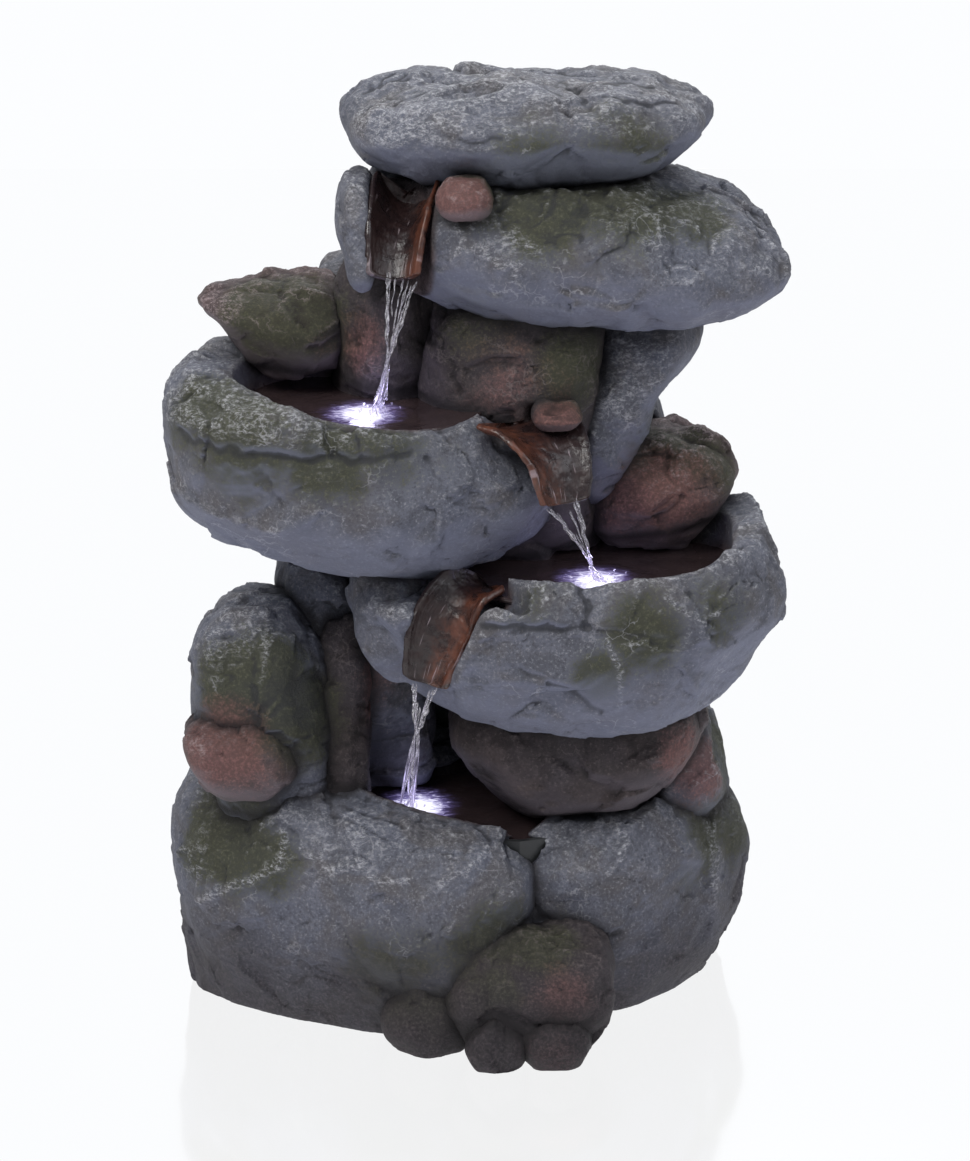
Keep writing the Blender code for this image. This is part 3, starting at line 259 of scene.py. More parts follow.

# Tool marks on each stone's face, in millimetres: depth, width, height (a groove's is negative), tone (painted shade in
# a groove, painted highlight on a ridge), (x, z) points
MARKS = {
    "left_basin": [
        (-165, 5, -2.6, -0.8, (-248, 557), (-241, 549), (-217, 541), (-189, 535), (-149, 532), (-101, 529),
         (-60, 535)),
        (-165, 3.5, -1.4, -0.35, (-189, 537), (-180, 520), (-173, 510), (-165, 491)),
        (-165, 3.5, -1.2, -0.35, (-44, 532), (-35, 512), (-27, 497), (-12, 489), (12, 487)),
        (-165, 2.5, -1.5, -0.6, (-110, 564), (-104, 551), (-99, 529)),
        (-150, 6, 2.2, 0.3, (-254, 501), (-232, 488), (-200, 474), (-170, 466)),
        (-165, 11, 3, 0.2, (-245, 566), (-215, 556), (-170, 549), (-120, 547)),
    ],
    "right_basin": [
        (-165, 4.5, -3.5, -0.9, (-14, 394), (12, 390), (37, 389), (61, 388), (84, 390)),
        (-165, 3.5, -2.5, -0.8, (76, 424), (84, 407), (84, 389)),
        (-165, 3, 1.6, 1.0, (99, 377), (108, 362), (113, 338), (109, 318)),
        (-150, 3, 1.4, 0.9, (148, 407), (160, 398), (177, 391), (190, 397)),
        (-160, 4, -1.4, -0.4, (29, 351), (70, 332), (95, 312)),
    ],
    "left_boulder": [
        (-130, 5.5, 3.2, 0.8, (-176, 235), (-170, 213), (-173, 185), (-177, 160), (-201, 145), (-225, 136),
         (-244, 125)),
        (-130, 2.8, 1.4, 0.9, (-157, 176), (-132, 158), (-107, 160), (-90, 148), (-64, 150)),
        (-130, 2.8, 1.2, 0.9, (-38, 147), (-13, 160), (4, 176), (13, 180)),
        (-130, 26, -6, -0.2, (-222, 182), (-214, 172)),
    ],
    "right_boulder": [
        (-110, 2.8, 1.4, 1.0, (113, 190), (120, 172), (115, 157), (107, 147)),
        (-120, 5, -3, -0.7, (39, 121), (60, 97), (91, 86), (116, 93)),
        (-80, 5, 2.2, 0.5, (199, 174), (206, 136), (204, 98), (180, 60)),
    ],
    "cap_stone": [
        (-30, 2, -1.1, -1.3, (0, 826), (15, 821), (29, 812), (42, 804), (51, 801), (65, 796), (80, 788)),
        (-30, 4.5, 1.4, 0.8, (6, 818), (20, 811), (34, 802), (42, 797)),
        (-30, 1.8, -0.9, -1.2, (66, 815), (70, 809), (88, 809), (111, 811), (126, 807), (138, 804)),
        (-30, 1.8, -0.8, -1.0, (94, 790), (111, 786), (135, 787), (155, 789)),
        (-30, 4, 1.2, 0.8, (90, 795), (112, 791), (136, 792), (156, 794)),
        (-30, 2, -1, -1.2, (-101, 783), (-91, 797), (-81, 802), (-65, 802), (-50, 804)),
        (-30, 1.8, -0.9, -1.1, (-74, 792), (-56, 797), (-39, 803), (-29, 811), (-22, 817)),
        (-30, 1.6, -0.7, -0.9, (-101, 808), (-84, 814), (-65, 819)),
        (-30, 5, 1.6, 0.9, (-90, 780), (-53, 780), (-33, 788), (-8, 788), (16, 792), (42, 800)),
        (-30, 1.6, -0.8, -0.9, (12, 819), (-5, 814), (-17, 804)),
        (-60, 2.4, -1, -0.7, (-36, 768), (-12, 760), (12, 764)),
    ],
    "upper_stone": [
        (-130, 2.4, 1, 0.9, (-24, 719), (-18, 703), (-26, 685)),
        (-130, 2.4, 1, 0.9, (-4, 695), (12, 680), (28, 685), (22, 669), (32, 662)),
        (-120, 5, 1.8, 0.2, (-44, 664), (-4, 652), (61, 642), (125, 637), (174, 642)),
    ],
    "round_front_stone": [
        (-175, 4.5, -2, -0.5, (23, 52), (38, 37), (64, 29), (89, 39), (103, 57), (101, 76)),
    ],
    "standing_grey_stone": [
        (-70, 5, 2.6, 0.7, (-189, 379), (-183, 353), (-187, 326), (-191, 308)),
    ],
    "column_centre_stone": [
        (-70, 4, -2.6, -0.7, (-50, 615), (-37, 598), (-27, 580), (-22, 562)),
    ],
}
# Paint patches in millimetres, in the same frame as the stones: x, y, z, radius, and the strength
MOSS = [
    (-225, -120, 562, 46, 1.0), (-190, -150, 545, 55, 1.0), (-130, -170, 534, 46, 0.9), (-80, -175, 548, 45, 0.7),
    (-20, -170, 545, 40, 0.4), (50, -100, 722, 52, 1.2), (110, -90, 720, 58, 1.2), (160, -70, 706, 48, 1.0),
    (0, -105, 735, 40, 0.9), (40, -110, 750, 55, 0.8), (110, -100, 752, 60, 0.8), (-175, -30, 632, 50, 1.4),
    (-150, -45, 612, 45, 1.2), (-195, -40, 620, 35, 1.0), (80, -90, 590, 45, 1.0), (70, -95, 560, 35, 0.8),
    (-10, -90, 625, 50, 0.6), (160, -10, 495, 50, 1.1), (200, 0, 480, 40, 0.8), (185, -140, 397, 36, 0.9),
    (130, -165, 384, 38, 1.1), (95, -170, 352, 30, 0.9), (40, -170, 410, 30, 0.5), (-195, -90, 305, 55, 1.5),
    (-165, -80, 280, 50, 1.2), (-180, -90, 250, 30, 0.7), (-225, -80, 170, 55, 1.2), (-190, -110, 160, 40, 0.9),
    (-255, -70, 150, 35, 0.8), (-60, -150, 85, 40, 0.8), (10, -140, 105, 40, 1.1), (-90, -160, 70, 45, 0.9),
    (-20, -150, 95, 35, 0.8), (190, -20, 150, 45, 0.9), (215, 10, 140, 45, 0.9), (205, 20, 210, 50, 0.7),
    (170, -50, 120, 40, 0.4), (45, -150, 100, 40, 1.0), (-45, -150, 40, 40, 0.8), (10, -185, 70, 30, 0.7),
    (-100, 190, 160, 90, 0.8), (120, 175, 300, 100, 0.8), (-110, 170, 480, 90, 0.8), (90, 120, 700, 100, 0.9),
    (180, 160, 120, 70, 0.8), (-240, 60, 500, 80, 0.8), (220, 50, 360, 70, 0.8),
]
RUST = [
    (-20, -134, 742, 30, 1.5), (190, -30, 212, 40, 1.0), (-110, -20, 290, 40, 0.8), (150, -30, 455, 60, 0.9),
    (120, -30, 440, 40, 0.6), (180, -85, 240, 40, 1.1), (165, -95, 225, 30, 0.6), (-225, -110, 262, 45, 1.1),
    (-205, -110, 245, 40, 0.7), (65, -185, 60, 36, 0.7), (60, -200, 16, 35, 0.6), (-110, -30, 270, 30, 0.6),
    (20, -100, 570, 50, 0.5), (60, -115, 552, 30, 0.9), (-110, -60, 600, 35, 0.7), (10, -100, 600, 50, 0.4),
    (140, 150, 60, 60, 0.4),
]
# Tone patches, partly painted light and shade: lighter above 0, darker below
TONE_AND_SHADING = [
    (-160, -40, 600, 50, -0.6), (-165, -90, 300, 50, -0.9), (-90, -60, 600, 50, -0.5), (-160, -20, 290, 50, -0.8),
    (-100, 0, 220, 60, -1.0), (-70, -80, 800, 70, 0.9), (0, -40, 815, 80, 0.6), (80, -60, 800, 70, 0.4),
    (150, -40, 790, 40, 0.3), (-236, -20, 620, 30, 1.4), (-250, -100, 560, 40, 0.5), (-190, -140, 565, 35, 0.5),
    (-235, -30, 570, 50, 0.5), (-90, -80, 690, 20, 0.5), (10, -135, 690, 45, 0.5), (200, -90, 660, 50, 0.4),
    (-215, -70, 350, 40, 0.5), (-130, -140, 170, 55, 0.4), (-260, -80, 135, 30, 0.6), (-160, 0, 385, 30, -0.5),
    (120, -60, 560, 60, 0.7), (60, -110, 550, 22, -0.9), (-16, -120, 735, 22, -0.5), (210, -110, 350, 50, 0.6),
    (-150, -120, 490, 80, 0.4), (240, -60, 400, 35, 0.4), (205, -30, 120, 40, 0.4), (-100, -20, 280, 70, -0.7),
    (-130, -40, 240, 60, -0.8), (0, -60, 230, 40, -0.8), (-150, -20, 330, 40, -0.5), (60, -120, 740, 60, -0.5),
    (-90, -60, 560, 60, -0.7), (100, -60, 440, 60, -0.6), (20, -80, 530, 50, -0.6), (-110, -150, 20, 80, -0.4),
    (0, -160, 20, 80, -0.6), (-20, -140, 60, 30, -0.5), (60, -100, 660, 50, 0.1),
]


# ---------------------------------------------------------------- noise
def perlin(p, seed=0):
    """Gradient noise from about -1 to 1 at each row of p."""
    rng = np.random.default_rng(seed)
    table = rng.permutation(256)
    table = np.concatenate([table, table])
    slopes = rng.normal(size=(256, 3))
    slopes /= np.linalg.norm(slopes, axis=1)[:, None]
    cell = np.floor(p).astype(int)
    f = p - cell
    u = f**3 * (f * (f * 6 - 15) + 10)
    cell &= 255
    total = np.zeros(len(p))
    for dx in (0, 1):
        for dy in (0, 1):
            for dz in (0, 1):
                h = table[table[(cell[:, 0] + dx) & 255] + ((cell[:, 1] + dy) & 255)]
                h = table[h + ((cell[:, 2] + dz) & 255)]
                w = np.ones(len(p))
                for k, d in enumerate((dx, dy, dz)):
                    w = w * (u[:, k] if d else 1 - u[:, k])
                total += w * ((f - (dx, dy, dz)) * slopes[h]).sum(1)
    return total * 1.7


def fbm(p, seed=0, octaves=3, gain=0.5):
    total, size = np.zeros(len(p)), 1.0
    for i in range(octaves):
        total += size * perlin(p * 2.03**i, seed + 17 * i)
        size *= gain
    return total


def bend(p, seed, scale, amount):
    """The points moved about by smooth noise."""
    return p + amount * np.stack([perlin(p * scale + 9.1 * k, seed + k) for k in range(3)], 1)


def chips(p, seed, spacing, tilt):
    """Height in metres of planes tilted at random across the surface, as on broken rock, and how near a break is."""
    rng = np.random.default_rng(seed)
    order = rng.permutation(len(p))
    cells = np.floor((p[order] + rng.uniform(0, spacing, 3)) / spacing).astype(int)
    _, first = np.unique(cells, axis=0, return_index=True)
    spots = p[order[first]]
    lean = rng.normal(size=spots.shape) * tilt
    lift = rng.normal(size=len(spots)) * spacing * 0.03
    moved = bend(p, seed, 0.55 / spacing, 0.38 * spacing)
    height, near = np.empty(len(p)), np.empty(len(p))
    for start in range(0, len(p), 6000):
        q = moved[start : start + 6000]
        d = (q**2).sum(1)[:, None] + (spots**2).sum(1)[None] - 2 * q @ spots.T
        rows = np.arange(len(q))
        one = d.argmin(1)
        d1 = np.sqrt(d[rows, one].clip(0))
        d[rows, one] = 1e9
        two = d.argmin(1)
        d2 = np.sqrt(d[rows, two].clip(0))
        w = 0.5 * (1 - ramp((d2 - d1) / (CHIP_EDGE * spacing), 0, 1))
        h1 = ((q - spots[one]) * lean[one]).sum(1) + lift[one]
        h2 = ((q - spots[two]) * lean[two]).sum(1) + lift[two]
        height[start : start + 6000] = h1 * (1 - w) + h2 * w
        near[start : start + 6000] = 2 * w
    return height, near


def ramp(x, low, high):
    t = np.clip((x - low) / (high - low), 0, 1)
    return t * t * (3 - 2 * t)


# ---------------------------------------------------------------- mesh tools
def link(name, mesh):
    made = bpy.data.objects.new(name, mesh)
    bpy.context.scene.collection.objects.link(made)
    return made


def mesh_of(name, points, faces):
    mesh = bpy.data.meshes.new(name)
    mesh.from_pydata([tuple(p) for p in points], [], faces)
    mesh.validate()
    bm = bmesh.new()
    bm.from_mesh(mesh)
    bmesh.ops.recalc_face_normals(bm, faces=bm.faces)
    bm.to_mesh(mesh)
    bm.free()
    return mesh


def rings_data(rings, first=0):
    """Points and faces of a closed surface through rings of equal point count."""
    count = len(rings[0])
    points = [p for ring in rings for p in ring]
    faces = [tuple(range(first, first + count))]
    for r in range(len(rings) - 1):
        a, b = first + r * count, first + (r + 1) * count
        faces += [(a + i, a + (i + 1) % count, b + (i + 1) % count, b + i) for i in range(count)]
    faces.append(tuple(range(first + len(points) - count, first + len(points))))
    return points, faces


def rings_mesh(name, rings):
    return mesh_of(name, *rings_data(rings))


def curve_rows(rows, steps):
    """Rows on the smooth curve through all the given rows but the first and last, up to the last but one."""
    made = []
    for a, b, c, d in zip(rows, rows[1:], rows[2:], rows[3:]):
        for i in range(steps):
            t = i / steps
            bent = (2 * a - 5 * b + 4 * c - d) * t**2 + (3 * b - a - 3 * c + d) * t**3
            made.append(0.5 * (2 * b + (c - a) * t + bent))
    return made


def spline(values, steps):
    """Rows on one smooth curve through the given rows."""
    rows = [np.array(v, float) for v in values]
    rows = [2 * rows[0] - rows[1], *rows, 2 * rows[-1] - rows[-2]]
    return [*curve_rows(rows, steps), rows[-2]]


def smooth_outline(points, steps):
    """Points on one smooth closed curve through the given points."""
    rows = [np.array(r, float) for r in (*points[-1:], *points, *points[:2])]
    return [(float(x), float(y)) for x, y in curve_rows(rows, steps)]


def stone_rings(rings, turn=0.0, slope=(0.0, 0.0), rough=0.10, seed=0.0, dents=(), **_):
    """Sections of a stone's form, drawn as in the CAD but on a finer grid."""
    low, high = rings[0][0], rings[-1][0]
    mid_x = sum(s[1] + s[2] for s in rings) / (2 * len(rings))
    mid_y = sum(s[3] + s[4] for s in rings) / (2 * len(rings))
    swing = Matrix.Rotation(math.radians(turn), 3, "Z")
    made = []
    for z, left, right, front, back in spline(rings, 4):
        centre = Vector(((left + right) / 2 - mid_x, (front + back) / 2 - mid_y, 0))
        half_x, half_y = (right - left) / 2, (back - front) / 2
        lift = (z - low) / (high - low)
        ring = []
        for i in range(FORM_SIDES):
            angle = 2 * math.pi * (i + 0.5) / FORM_SIDES
            c, s = math.cos(angle), math.sin(angle)
            x = math.copysign(abs(c) ** 0.8, c)
            y = math.copysign(abs(s) ** 0.8, s)
            swell = 1 + rough * noise.noise(Vector((c * 1.6 + seed, s * 1.6, z * 14.0)))
            for where, width, amount in dents:
                off = (math.degrees(angle) - where + 180) % 360 - 180
                swell -= amount * math.exp(-(off / width) ** 2)
            point = swing @ (centre + Vector((x * half_x * swell, y * half_y * swell, 0)))
            rise = lift * (slope[0] * point.x + slope[1] * point.y)
            ring.append(Vector((point.x + mid_x, point.y + mid_y, z + rise)) + PLACE)
        made.append(ring)
    return made


def stone_form(name, **spec):
    return rings_mesh(name, stone_rings(**spec))


def prism(name, outline, low, high):
    return rings_mesh(name, [[Vector((x, y, z)) + PLACE for x, y in outline] for z in (low, high)])


def evaluated(made):
    """A new mesh of an object with its modifiers applied."""
    bpy.context.view_layer.update()
    return bpy.data.meshes.new_from_object(made.evaluated_get(bpy.context.evaluated_depsgraph_get()))


def subdivided(made, levels):
    """Puts a subdivided mesh in the place of an object's own."""
    grid = made.modifiers.new("grid", "SUBSURF")
    grid.levels = grid.render_levels = levels
    fine = evaluated(made)
    made.modifiers.clear()
    made.data = fine
    fine.shade_smooth()
    return fine


def finished(made, body, material, node=None):
    """Gives a piece its material and its body, and hides the CAD node it stands for."""
    made.data.materials.clear()
    made.data.materials.append(material)
    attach(made, body)
    if node:
        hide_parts(node)


def remeshed(name, mesh, adds=(), cuts=(), voxel=VOXEL):
    """The mesh with parts added and taken out, on an even grid."""
    temp = link(name + "_grid", mesh)
    for operation, others in (("UNION", adds), ("DIFFERENCE", cuts)):
        for other in others:
            cut = temp.modifiers.new("cut", "BOOLEAN")
            cut.operation = operation
            cut.object = other
            cut.solver = "EXACT"
    grid = temp.modifiers.new("grid", "REMESH")
    grid.mode = "VOXEL"
    grid.voxel_size = voxel
    made = evaluated(temp)
    made.name = name
    bpy.data.objects.remove(temp)
    return made


def read(items, key, width, kind=float):
    """One property of all of a mesh's points or edges, as rows."""
    values = np.empty(len(items) * width, kind)
    items.foreach_get(key, values)
    return values.reshape(-1, width)


def points_of(mesh):
    return read(mesh.vertices, "co", 3)


def set_points(mesh, co):
    mesh.vertices.foreach_set("co", co.astype(np.float32).ravel())
    mesh.update()


def normals_of(mesh):
    return read(mesh.vertex_normals, "vector", 3)


def edges_of(mesh):
    return read(mesh.edges, "vertices", 2, int)


def smoothed(values, edges, rounds):
    """Values averaged with their neighbours' a number of times."""
    a, b = edges[:, 0], edges[:, 1]
    count = np.bincount(edges.ravel(), minlength=len(values)).clip(1)[:, None]
    values = values.copy()
    for _ in range(rounds):
        total = np.empty_like(values)
        for k in range(values.shape[1]):
            total[:, k] = np.bincount(a, values[b, k], len(values)) + np.bincount(b, values[a, k], len(values))
        values += 0.5 * (total / count - values)
    return values


def attribute(mesh, name, values):
    found = mesh.attributes.get(name) or mesh.attributes.new(name, "FLOAT", "POINT")
    found.data.foreach_set("value", np.asarray(values, np.float32))


def patch_at(co, patches):
    """Strength of the strongest patch at each point, above or below 0."""
    value = np.zeros(len(co))
    for *centre, radius, strength in patches:
        d = np.linalg.norm(co - np.array(centre) / 1000 - np.array(PLACE), axis=1) / (radius / 1000)
        here = strength * np.clip(1.3 - d, 0, 1)
        value = np.where(np.abs(here) > np.abs(value), here, value)
    return value


def rock_height(co, up, seed):
    """Height of the cast rock's surface in metres at each point, and how deep in a crack it is."""
    seed = int(seed * 10)
    big, break_1 = chips(co, seed, 0.046, 0.13)
    small, break_2 = chips(co, seed + 3, 0.017, 0.16)
    busy = np.clip(0.40 + 0.60 * perlin(co * 13, seed + 5) + 0.9 * up, 0.14, 1.5)
    warped = bend(co, seed + 6, 16, 0.020)
    strata = 1 - np.abs(perlin(warped * (11, 11, 52), seed + 9))
    strata = ramp(strata, 0.90, 1.0) * ramp(perlin(co * 13, seed + 10), -0.05, 0.35)
    grit = fbm(bend(co, seed + 11, 60, 0.004) * 85, seed + 12, 3, 0.6)
    height = 0.0032 * fbm(co * 9, seed + 13, 2) + (0.65 + 0.5 * up) * big
    height = height + busy * (0.50 * small + 0.0007 * grit - 0.0012 * strata)
    crack = busy * (0.8 * strata + 0.25 * ramp(break_2, 0.75, 1.0)) + 0.12 * ramp(break_1, 0.8, 1.0)
    return height, np.clip(crack, 0, 1.2)


def marks_on(name, co, normals):
    """Height and tone of the marks drawn on a stone's face: painted shade in the grooves and painted highlight on the
    ridges.
    """
    height, tone_and_shading = np.zeros(len(co)), np.zeros(len(co))
    view = np.array(((1.0, 0.0, 0.0), (0.0, math.sin(VIEW_DOWN), math.cos(VIEW_DOWN))))
    facing = ramp(-normals[:, 1] + 0.5 * normals[:, 2], 0.05, 0.35)
    rough = bend(co, 71, 70, 0.0028)
    flat = (rough - np.array(PLACE)) @ view.T
    strength = 2.0 if name == "cap_stone" else 1.0
    for y, width, lift, shade, *spots in MARKS.get(name, ()):
        line = np.array([(x, y, z) for x, z in spots]) / 1000 @ view.T
        best = np.full(len(co), 1.0)
        for a, b in zip(line, line[1:]):
            t = np.clip(((flat - a) @ (b - a)) / ((b - a) @ (b - a)), 0, 1)
            best = np.minimum(best, np.linalg.norm(flat - a - t[:, None] * (b - a), axis=1))
        here = np.exp(-((best / (width / 1000)) ** 2)) * facing
        height += strength * (lift / 1000) * here
        tone_and_shading = np.where(np.abs(shade * here) > np.abs(tone_and_shading), shade * here, tone_and_shading)
    return height, tone_and_shading


# ---------------------------------------------------------------- material tools
class Tree:
    """Short calls for building a node tree."""

    def __init__(self, name, world=None):
        self.material = world or bpy.data.materials.new(name)
        self.material.use_nodes = True
        self.tree = self.material.node_tree
        self.tree.nodes.clear()
        self.out = self.tree.nodes.new("ShaderNodeOutputWorld" if world else "ShaderNodeOutputMaterial")
        self.coord = self.tree.nodes.new("ShaderNodeTexCoord").outputs["Object"]

    def feed(self, socket, value):
        if isinstance(value, bpy.types.NodeSocket):
            self.tree.links.new(value, socket)
        elif isinstance(value, tuple) and len(value) == 3 and socket.type == "RGBA":
            socket.default_value = (*value, 1.0)
        else:
            socket.default_value = value

    def node(self, kind, inputs=None, **settings):
        made = self.tree.nodes.new("ShaderNode" + kind)
        for key, value in settings.items():
            setattr(made, key, value)
        for key, value in (inputs or {}).items():
            self.feed(made.inputs[key], value)
        return made

    def noise(self, scale, detail=4.0, roughness=0.55, distortion=0.0, coord=None, out="Fac"):
        inputs = {"Vector": coord or self.coord, "Scale": scale, "Detail": detail}
        inputs.update(Roughness=roughness, Distortion=distortion)
        return self.node("TexNoise", inputs).outputs[out]

    def math(self, operation, a, b):
        return self.node("Math", {0: a, 1: b}, operation=operation).outputs[0]

    def add(self, a, b):
        return self.math("ADD", a, b)

    def minus(self, a, b):
        return self.math("SUBTRACT", a, b)

    def times(self, a, b):
        return self.math("MULTIPLY", a, b)

    def span(self, value, low, high, to_low=0.0, to_high=1.0):
        """value from low to high becomes to_low to to_high, smoothly, and stays at the ends outside."""
        inputs = {"Value": value, "From Min": low, "From Max": high, "To Min": to_low, "To Max": to_high}
        return self.node("MapRange", inputs, interpolation_type="SMOOTHSTEP").outputs["Result"]

    def mix(self, factor, a, b):
        return self.node("Mix", {0: factor, 6: a, 7: b}, data_type="RGBA").outputs[2]

    def attribute(self, name):
        return self.node("Attribute", attribute_name=name).outputs["Fac"]

    def vector(self, operation, a, b=None, scale=None):
        inputs = {0: a, 1: b, "Scale": scale}
        used = {key: value for key, value in inputs.items() if value is not None}
        return self.node("VectorMath", used, operation=operation)

    def bump(self, height, strength, distance):
        inputs = {"Height": height, "Strength": strength, "Distance": distance}
        return self.node("Bump", inputs).outputs["Normal"]

    def end(self, made):
        self.tree.links.new(made.outputs[0], self.out.inputs[0])
        return self.material

    def shader(self, **inputs):
        return self.end(self.node("BsdfPrincipled", {k.replace("_", " "): v for k, v in inputs.items()}))


def tinted(colour, factor):
    return tuple(min(1.0, factor * c) for c in colour)


def rock_material(name, dark, middle, light, tint, dirty):
    """Painted cast rock: mottled base, dark wash and painted shade in hollows and where stones meet, light dry-brushing
    and painted highlights on ridges and tops, moss and rust patches.
    """
    t = Tree(name)
    broad = t.noise(9, 3)
    mottle = t.noise(42, 6, 0.62, 0.2)
    grain = t.noise(360, 5, 0.72, 0.2)
    fine = t.noise(900, 3, 0.65)
    relief, contact_shade, up = t.attribute("relief"), t.attribute("contact_shade"), t.attribute("up")
    moss, rust, inner, low, tone_and_shading = (t.attribute(k) for k in ("moss", "rust", "inner", "low", "tone_and_shading"))

    colour = t.mix(t.span(mottle, 0.34, 0.66), dark, middle)
    colour = t.mix(t.span(broad, 0.40, 0.66, 0.0, 0.6), colour, tint)
    dirt = t.noise(21, 7, 0.66, 0.5)
    colour = t.mix(t.span(dirt, 0.44, 0.64, 0.0, 0.75), colour, dirty)
    # the grain is painted with its own bumps: pits dark with painted shade, tops pale with dry-brushing and painted
    # highlight
    colour = t.mix(t.span(grain, 0.32, 0.49, 0.62, 0.0), colour, tinted(dark, 0.34))
    colour = t.mix(t.span(grain, 0.52, 0.72, 0.0, 0.38), colour, light)
    # moss and rust, broken up by the grain
    edge = t.add(t.times(t.minus(mottle, 0.5), 2.4), t.times(t.minus(grain, 0.5), 2.2))
    moss_here = t.span(t.add(moss, t.times(edge, 0.50)), 0.18, 0.80)
    moss_tone = t.mix(t.span(grain, 0.46, 0.70), MOSS_COLOUR, tinted(MOSS_COLOUR, 2.2))
    colour = t.mix(t.times(moss_here, 0.90), colour, moss_tone)
    rust_here = t.span(t.add(rust, t.times(edge, 0.40)), 0.20, 0.90)
    rust_tone = t.mix(t.span(grain, 0.42, 0.70), RUST_COLOUR, tinted(RUST_COLOUR, 1.9))
    colour = t.mix(t.times(rust_here, 0.82), colour, rust_tone)
    # dry-brushing and painted highlights: broken pale strokes on the ridges, the tops and the marks
    slant = t.node("Mapping", {"Vector": t.coord, "Rotation": (0.5, 0.3, 0.6), "Scale": (1.0, 1.0, 1.9)}).outputs[0]
    strokes = t.noise(210, 8, 0.80, 0.35, coord=slant)
    raised = t.add(relief, t.add(t.times(up, 0.75), t.times(tone_and_shading, 1.1)))
    brushing_and_highlight = t.times(t.span(strokes, 0.46, 0.64), t.span(raised, 0.20, 1.60))
    colour = t.mix(t.times(brushing_and_highlight, 0.68), colour, light)
    # undersides catch the pale ground's light
    colour = t.mix(t.times(t.span(up, -0.05, -0.60, 0.0, 0.52), t.minus(1.0, low)), colour, tinted(tint, 1.85))
    # fine pale crackle
    warp = t.vector("SCALE", t.noise(48, 4, out="Color"), scale=0.034).outputs[0]
    bent = t.vector("ADD", t.coord, warp).outputs[0]
    cells = t.node("TexVoronoi", {"Vector": bent, "Scale": 46.0}, feature="DISTANCE_TO_EDGE")
    veins = t.times(t.span(cells.outputs["Distance"], 0.0, 0.040, 1.0, 0.0), t.span(t.noise(17, 3), 0.54, 0.64))
    colour = t.mix(t.times(veins, 0.30), colour, light)
    # dark wash and painted shade in the hollows, the basins' wet insides, and painted shade where stones meet
    wash_and_shade_in_hollows = t.span(t.add(relief, t.times(tone_and_shading, 1.0)), -1.05, -0.15, 1.0, 0.0)
    colour = t.mix(t.times(wash_and_shade_in_hollows, 0.70), colour, tinted(dark, 0.26))
    inner_tone = t.mix(t.span(mottle, 0.36, 0.66), (0.024, 0.018, 0.020), (0.095, 0.070, 0.070))
    colour = t.mix(t.times(inner, 0.95), colour, inner_tone)
    low_tone = t.mix(t.span(grain, 0.40, 0.66), (0.012, 0.010, 0.012), (0.050, 0.040, 0.045))
    colour = t.mix(t.times(low, 0.80), colour, low_tone)
    # painted shade where stones meet
    colour = t.mix(t.times(contact_shade, 0.82), colour, (0.012, 0.010, 0.011))
    height = t.add(t.times(strokes, 0.60), t.add(t.times(grain, 0.8), t.times(fine, 0.25)))
    rough = t.minus(t.span(grain, 0.3, 0.7, 0.58, 0.78), t.times(inner, 0.36))
    return t.shader(Base_Color=colour, Roughness=rough, Normal=t.bump(height, 0.75, 0.0020), Specular_IOR_Level=0.35)


def channel_material():
    """Wet copper-brown trough: dark painted shade on its left side, orange where the light falls, pale streaks of
    running water painted as highlights.
    """
    t = Tree("channel_copper")
    along, across = t.attribute("along"), t.attribute("across")
    streak = t.node("CombineXYZ", {0: t.times(across, 3.0), 1: t.times(along, 1.3), 2: 0.0}).outputs[0]
    runs = t.noise(2.6, 5, 0.6, 0.8, coord=streak)
    mottle = t.noise(70, 6, 0.65, 0.5)
    colour = t.mix(t.span(mottle, 0.34, 0.68), (0.030, 0.013, 0.010), (0.112, 0.036, 0.019))
    # painted shade over the trough's left side
    colour = t.mix(t.span(t.add(across, t.times(mottle, 0.7)), 0.00, 0.80, 0.90, 0.0), colour, (0.014, 0.009, 0.010))
    # pale streaks of running water, painted highlights
    colour = t.mix(t.times(t.span(runs, 0.60, 0.70), t.span(along, 0.20, 0.60, 0.0, 0.60)), colour, (0.36, 0.29, 0.31))
    height = t.add(mottle, t.times(runs, 0.8))
    rough = t.span(mottle, 0.3, 0.7, 0.22, 0.42)
    return t.shader(Base_Color=colour, Roughness=rough, Normal=t.bump(height, 0.5, 0.002))


def water_material(name, glow):
    """Dark rippled water with the light's glow painted into it as emission."""
    t = Tree(name)
    wobble = t.vector("SCALE", t.noise(55, 4, out="Color"), scale=0.016).outputs[0]
    moved = t.vector("ADD", t.coord, wobble).outputs[0]
    from_glow = t.vector("SUBTRACT", moved, (glow[0] + 0.008, glow[1] + 0.008, glow[2])).outputs[0]
    spread = t.vector("MULTIPLY", from_glow, (1.0, 0.80, 0.0)).outputs[0]
    far = t.vector("LENGTH", spread).outputs["Value"]
    flat = t.node("Mapping", {"Vector": t.coord, "Scale": (1.0, 2.4, 1.0)}).outputs[0]
    glow_breakup = t.noise(110, 7, 0.72, 0.6, coord=flat)
    # painted glow round the light: a white-violet core and a halo
    core = t.span(t.add(far, t.times(t.minus(glow_breakup, 0.5), 0.060)), 0.010, 0.029, 1.0, 0.0)
    halo = t.span(t.add(far, t.times(t.minus(glow_breakup, 0.5), 0.030)), 0.014, 0.044, 1.0, 0.0)
    tint = t.mix(core, (0.34, 0.28, 0.80), (0.88, 0.88, 1.0))
    power = t.add(t.times(core, 0.66), t.times(t.times(halo, halo), 0.55))
    base = t.mix(t.noise(40, 4), (0.012, 0.008, 0.009), (0.060, 0.040, 0.040))
    height = t.noise(90, 3, 0.5, 0.8)
    return t.shader(
        Base_Color=base, Roughness=0.06, Normal=t.bump(height, 0.25, 0.002),
        Emission_Color=tint, Emission_Strength=power,
    )


